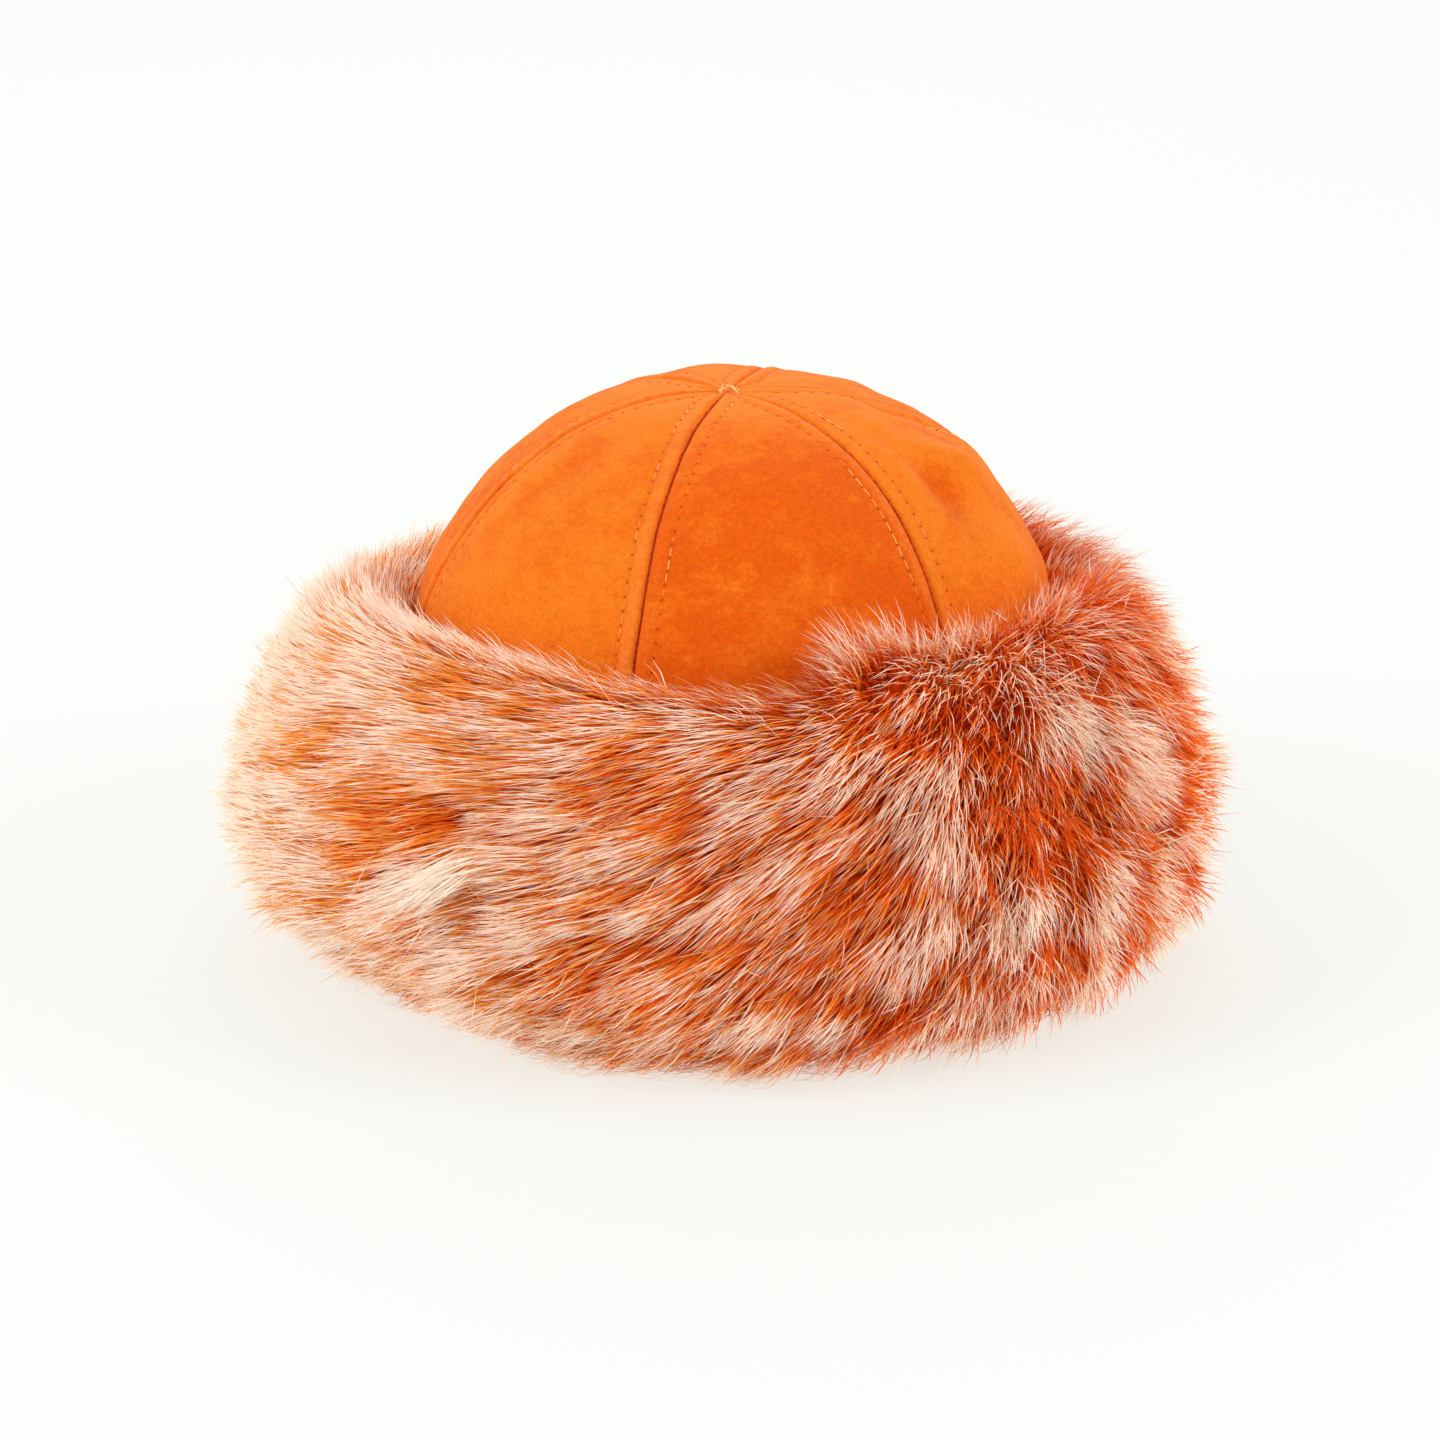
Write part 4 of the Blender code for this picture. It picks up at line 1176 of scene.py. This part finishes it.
def fur_tree(hair_blade, wool_blade):
    """Grow wool and hair on the pelt between two azimuths, combed into strands, wisps and locks."""
    tree, given = geometry_tree("fur", Seed=1, Cover=1.0e6, Width=0.0003, Locks=0.018, Wisps=0.006,
                                Strands=0.0022, First=0.0, Last=72.0)
    azimuth, covered = tree.named("azimuth"), tree.named("cover") > 0.05
    inside = (azimuth > given["First"]) * (azimuth < given["Last"]) * covered

    def scatter(method, more, **inputs):
        inputs.update(Mesh=given["Geometry"], Seed=given["Seed"] + more)
        return tree.add("GeometryNodeDistributePointsOnFaces", inputs, distribute_method=method)

    def guides(apart, more):
        inputs = {"Selection": covered, "Distance Min": given[apart], "Density Max": 3.0e6,
                  "Density Factor": 1.0}
        return scatter("POISSON", more, **inputs)

    def roots(density, more):
        density = given["Cover"] * tree.named("cover") * density
        return scatter("RANDOM", more, Selection=inside, Density=density)

    def bladed(hairs, width, spin, blade, more):
        facing = tree.named("out") + tree.random_vector(spin, more)
        spread = (tree.named("tip") - tree.named("root")).apply("CROSS_PRODUCT", facing)
        half = given["Width"] * tree.random(0.36 * width, 0.64 * width, more + 1)
        hairs = tree.store(hairs, spread=spread.apply("NORMALIZE") * half)
        shape = tree.add("GeometryNodeObjectInfo", (blade,), "Geometry", transform_space="ORIGINAL")
        return tree.add("GeometryNodeInstanceOnPoints", {"Points": hairs, "Instance": shape})

    locks = comb(tree, guides("Locks", 1), 11, 0.26)
    wisps = comb(tree, guides("Wisps", 2), 23, 0.28, guides=locks, drawn=0.5, apart=0.55)
    strands = comb(tree, guides("Strands", 3), 37, 0.18, guides=wisps, drawn=0.66, apart=0.4)
    long_share = tree.ramp(tree.named("frost"), -0.1, 1.1, 0.36, 1.58)
    drawn = (1.0 - tree.named("toss") * 0.9) * 0.3
    hairs = comb(tree, roots(long_share, 4), 49, 0.17,
                 guides=strands, drawn=drawn, apart=0.8, stray=STRAY)
    # The hair's deep band follows depth, which carries painted shade and light besides the dye
    deeper = tree.random(0.15, 0.85, 66) < tree.named("depth")
    white = tree.ramp(tree.named("tone"), 0.0, 1.7) * TONE_BAND
    hairs = tree.store(hairs, tone=white + tree.ramp(deeper, 0.0, 1.0, GOLDEN_TONE, DEEP_TONE))
    wool = comb(tree, roots(WOOL_COVER, 5), 71, 0.24,
                length=WOOL_LENGTH, guides=wisps, drawn=0.45, apart=0.7)
    dye = tree.named("depth") * 0.9 + tree.random(-0.25, 0.25, 64)
    wool = tree.store(wool, tone=tree.ramp(dye, 0.0, 1.0, WOOL_TONE, 0.02))
    fur = tree.joined(bladed(hairs, 1.0, 0.55, hair_blade, 61),
                      bladed(wool, WOOL_WIDTH, 0.3, wool_blade, 81))
    fur = tree.add("GeometryNodeRealizeInstances", (fur,))
    bend, along = tree.named("bend"), tree.named("along")
    first = tree.between(tree.named("root"), bend, along)
    second = tree.between(bend, tree.named("tip"), along)
    place = tree.between(first, second, along) + tree.named("spread") * tree.named("aside")
    place = place.apply("MAXIMUM", LEAST_PLACE)
    fur = tree.add("GeometryNodeSetPosition", {0: fur, "Position": place})
    strand = tree.add("ShaderNodeCombineXYZ", (tree.named("tone"), along, 0.0))
    fur = tree.add("GeometryNodeStoreNamedAttribute", {0: fur, "Name": "OFBake", "Value": strand},
                   data_type="FLOAT2", domain="CORNER")
    return tree.finish(tree.store(fur, share=along))


# The levels of a blade: how far along it each lies, and its width as a share of the full one
HAIR_LEVELS = ((0.0, 0.9), (0.36, 1.0), (0.72, 0.7))
WOOL_LEVELS = ((0.0, 1.0), (0.55, 0.8))

CREAM = (1.0, 0.87, 0.72, 1.0)  # colour of the whitest tips


def hair_material(settings):
    """Dyed hair: deep at the root and orange above it, with a pale tip where it is frosted."""
    material, tree = new_material("frosted_hair", 0.6, 0.08)
    share, tone = tree.read("share", "tone")
    root, dyed, light, golden, frost = opaque(
        settings.root_colour, settings.dyed_colour, settings.light_colour,
        settings.golden_colour, settings.frost_colour)
    deep = tuple(0.4 * a + 0.6 * b for a, b in zip(root, dyed))
    long_hair, light_wool = tree.ramp(tone, WOOL_TONE, GOLDEN_TONE), tree.ramp(tone, 0.14, WOOL_TONE)
    deeper = tree.ramp(tone, 0.63, 0.65)
    whiteness = (tone - tree.ramp(deeper, 0.0, 1.0, GOLDEN_TONE, DEEP_TONE)) / TONE_BAND
    wool = tree.colour(light_wool, tree.colour(tree.ramp(tone, 0.02, 0.14), deep, dyed), light)
    body = tree.colour(long_hair, wool, tree.colour(deeper, light, dyed))
    base = tree.colour(tree.colour(long_hair, light_wool, 1.0 - deeper), root, light)
    colour = tree.colour(tree.ramp(share, 0.0, 0.45), base, body)
    edge = tree.ramp(whiteness, 0.0, 0.635, 0.84, 0.42)
    start = edge - tree.ramp(deeper, 0.0, 1.0, 0.2, 0.08)
    lighter = tree.ramp(share, start, edge, kind="LINEAR")
    colour = tree.colour(lighter * long_hair, colour, golden)
    pale = tree.colour(tree.ramp(whiteness, 0.9, 1.0), frost, CREAM)
    tree.paint(tree.colour(tree.ramp(share, edge, edge + 0.14) * long_hair, colour, pale))
    return material


def wool_material(settings):
    """The short dense wool on the pelt, seen between the locks, with painted shade in the creases
    between its tufts.
    """
    material, tree = new_material("orange_wool", 0.9, 0.1)
    root, dyed, light = opaque(settings.root_colour, settings.dyed_colour, settings.light_colour)
    fuzz = tree.noise(tree.place(), 1100.0, 3.0, 0.7)
    crease, depth = tree.read("crease", "depth")
    # depth is the dye's depth together with the painted shade and light that fur_fields adds
    colour = tree.colour(tree.ramp(depth, 0.1, 0.5), light, dyed)
    colour = tree.colour(tree.ramp(fuzz, 0.25, 0.75, 0.0, 0.35), colour, root)
    colour = tree.colour(tree.ramp(depth, 0.3, 1.0, 0.0, 0.6), colour, root)
    # Painted shade in the creases between the tufts
    wool_crease_shade = tree.ramp(crease, 0.1, 0.75) * tree.ramp(depth, 0.0, 0.8, 0.3, 1.0)
    tree.paint(tree.colour(wool_crease_shade, colour, root), fuzz, 0.8, 0.001)
    return material


class TOQUE_OT_cuff(bpy.types.Operator):
    """Wrap the pelt round the crown and grow its fur"""

    bl_idname = "toque.cuff"
    bl_label = "Fur cuff"

    def execute(self, context):
        settings = context.scene.toque_fur
        pelt = pelt_object(settings)
        blades = blade_object("hair_blade", HAIR_LEVELS), blade_object("wool_blade", WOOL_LEVELS)
        material, tree = hair_material(settings), fur_tree(*blades)
        sector = 360.0 / FUR_SECTORS
        for index in range(FUR_SECTORS):
            values = {"Seed": settings.seed, "Cover": settings.cover, "Width": settings.width,
                      "Locks": settings.locks_apart, "Wisps": settings.wisps_apart,
                      "Strands": settings.strands_apart,
                      "First": index * sector, "Last": (index + 1) * sector}
            mesh = grown(pelt, tree, values, material)
            keep_attributes(mesh, "tone", "share", "OFBake")
            finish_piece(new_object(f"fur_hair_{index + 1}", mesh), "frosted_fur", CUFF)
        for blade in blades:
            bpy.data.objects.remove(blade)
        keep_attributes(pelt.data, "crease", "depth")
        pelt.data.materials.append(wool_material(settings))
        finish_piece(pelt, "frosted_fur", CUFF)
        return {"FINISHED"}


FRAME_SIDE = 1440.0             # the picture's side, in pixels
FRAME_SHIFT = (-8.0, -7.0)      # how far its middle lies off the camera's aim, in pixels
SENSOR_WIDTH = 36.0             # in millimetres, as the lens
SIGHT = 50.0                    # how far the camera sees
FLOOR_RADIUS = 12.0             # to its corners
FLOOR_PAINT = {"Base Color": (0.17, 0.23, 0.26, 1.0), "Emission Color": (1.0, 0.93, 0.85, 1.0),
               "Emission Strength": 0.75}
WORLD_STRENGTH = 0.69
LIGHT_AIM = Vector((0.0, 0.0, 0.08))
LIGHTS = (
    # name, place, size, power, colour
    ("key_light", (-2.0, -0.9, 1.4), (1.4, 1.4), 34.0, (1.0, 0.99, 0.97)),
    ("fill_light", (2.0, -0.6, 1.2), (1.4, 1.2), 26.0, (1.0, 0.98, 0.96)),
    ("back_light", (-0.2, 1.8, 1.5), (1.8, 1.0), 12.0, (1.0, 1.0, 1.0)),
)


def area_light(name, place, size, power, colour):
    """A soft rectangular light, turned to the hat."""
    lamp = bpy.data.lights.new(name, "AREA")
    lamp.shape = "RECTANGLE"
    lamp.size, lamp.size_y = size
    lamp.energy = power
    lamp.color = colour
    thing = new_object(name, lamp)
    thing.location = place
    thing.rotation_euler = (LIGHT_AIM - Vector(place)).to_track_quat("-Z", "Y").to_euler()


class TOQUE_OT_stage(bpy.types.Operator):
    """Set up the camera, the pale floor and the soft light"""

    bl_idname = "toque.stage"
    bl_label = "Stage"

    def execute(self, context):
        settings = context.scene.toque_stage
        corners = polar(np.array([[-45.0, 45.0], [-135.0, 135.0]]), FLOOR_RADIUS, 0.0)
        floor = new_object("floor", grid_mesh("floor", corners, {}))
        if floor.data.polygons[0].normal.z < 0.0:
            floor.data.flip_normals()
        floor.data.materials.append(new_material("pale_floor", 0.9, 0.1, **FLOOR_PAINT)[0])
        scene = context.scene
        scene.world = bpy.data.worlds.new("studio")
        scene.world.use_nodes = True
        inputs = scene.world.node_tree.nodes["Background"].inputs
        inputs["Color"].default_value = (1.0, 1.0, 1.0, 1.0)
        inputs["Strength"].default_value = WORLD_STRENGTH
        scene.view_settings.view_transform = "Standard"
        for light in LIGHTS:
            area_light(*light)
        camera = bpy.data.cameras.new("camera")
        camera.lens = settings.lens
        camera.sensor_width = SENSOR_WIDTH
        camera.shift_x, camera.shift_y = [shift / FRAME_SIDE for shift in FRAME_SHIFT]
        camera.clip_end = SIGHT
        scene.camera = new_object("camera", camera)
        back = Vector((0.0, -cos(settings.elevation), sin(settings.elevation)))
        scene.camera.location = Vector((0.0, 0.0, settings.target)) + back * settings.distance
        scene.camera.rotation_euler = (-back).to_track_quat("-Z", "Y").to_euler()
        return {"FINISHED"}


class TOQUE_PT_sidebar(bpy.types.Panel):
    """The toque's sizes and the steps that make it"""

    bl_idname = "TOQUE_PT_sidebar"
    bl_label = "Fur toque"
    bl_space_type = "VIEW_3D"
    bl_region_type = "UI"
    bl_category = "Toque"

    def draw(self, context):
        for group, operators in PANEL_GROUPS:
            box = self.layout.box()
            settings = getattr(context.scene, group)
            for name in type(settings).__annotations__:
                box.prop(settings, name)
            for operator in operators:
                box.operator(operator)


PANEL_GROUPS = (
    ("toque_crown", ("toque.crown", "toque.stitches")),
    ("toque_fur", ("toque.cuff",)),
    ("toque_stage", ("toque.stage",)),
)
CLASSES = (CrownSettings, FurSettings, StageSettings, TOQUE_OT_crown, TOQUE_OT_stitches,
           TOQUE_OT_cuff, TOQUE_OT_stage, TOQUE_PT_sidebar)


def register():
    """Add the settings, the operators and the panel to Blender."""
    for each in CLASSES:
        bpy.utils.register_class(each)
    bpy.types.Scene.toque_crown = PointerProperty(type=CrownSettings)
    bpy.types.Scene.toque_fur = PointerProperty(type=FurSettings)
    bpy.types.Scene.toque_stage = PointerProperty(type=StageSettings)


def unregister():
    """Take them out again."""
    del bpy.types.Scene.toque_stage
    del bpy.types.Scene.toque_fur
    del bpy.types.Scene.toque_crown
    for each in reversed(CLASSES):
        bpy.utils.unregister_class(each)


def main():
    """Dress the hat."""
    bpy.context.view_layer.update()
    register()
    bpy.ops.toque.stage()
    bpy.ops.toque.crown()
    bpy.ops.toque.stitches()
    bpy.ops.toque.cuff()
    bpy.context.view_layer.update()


if __name__ == "__main__":
    main()
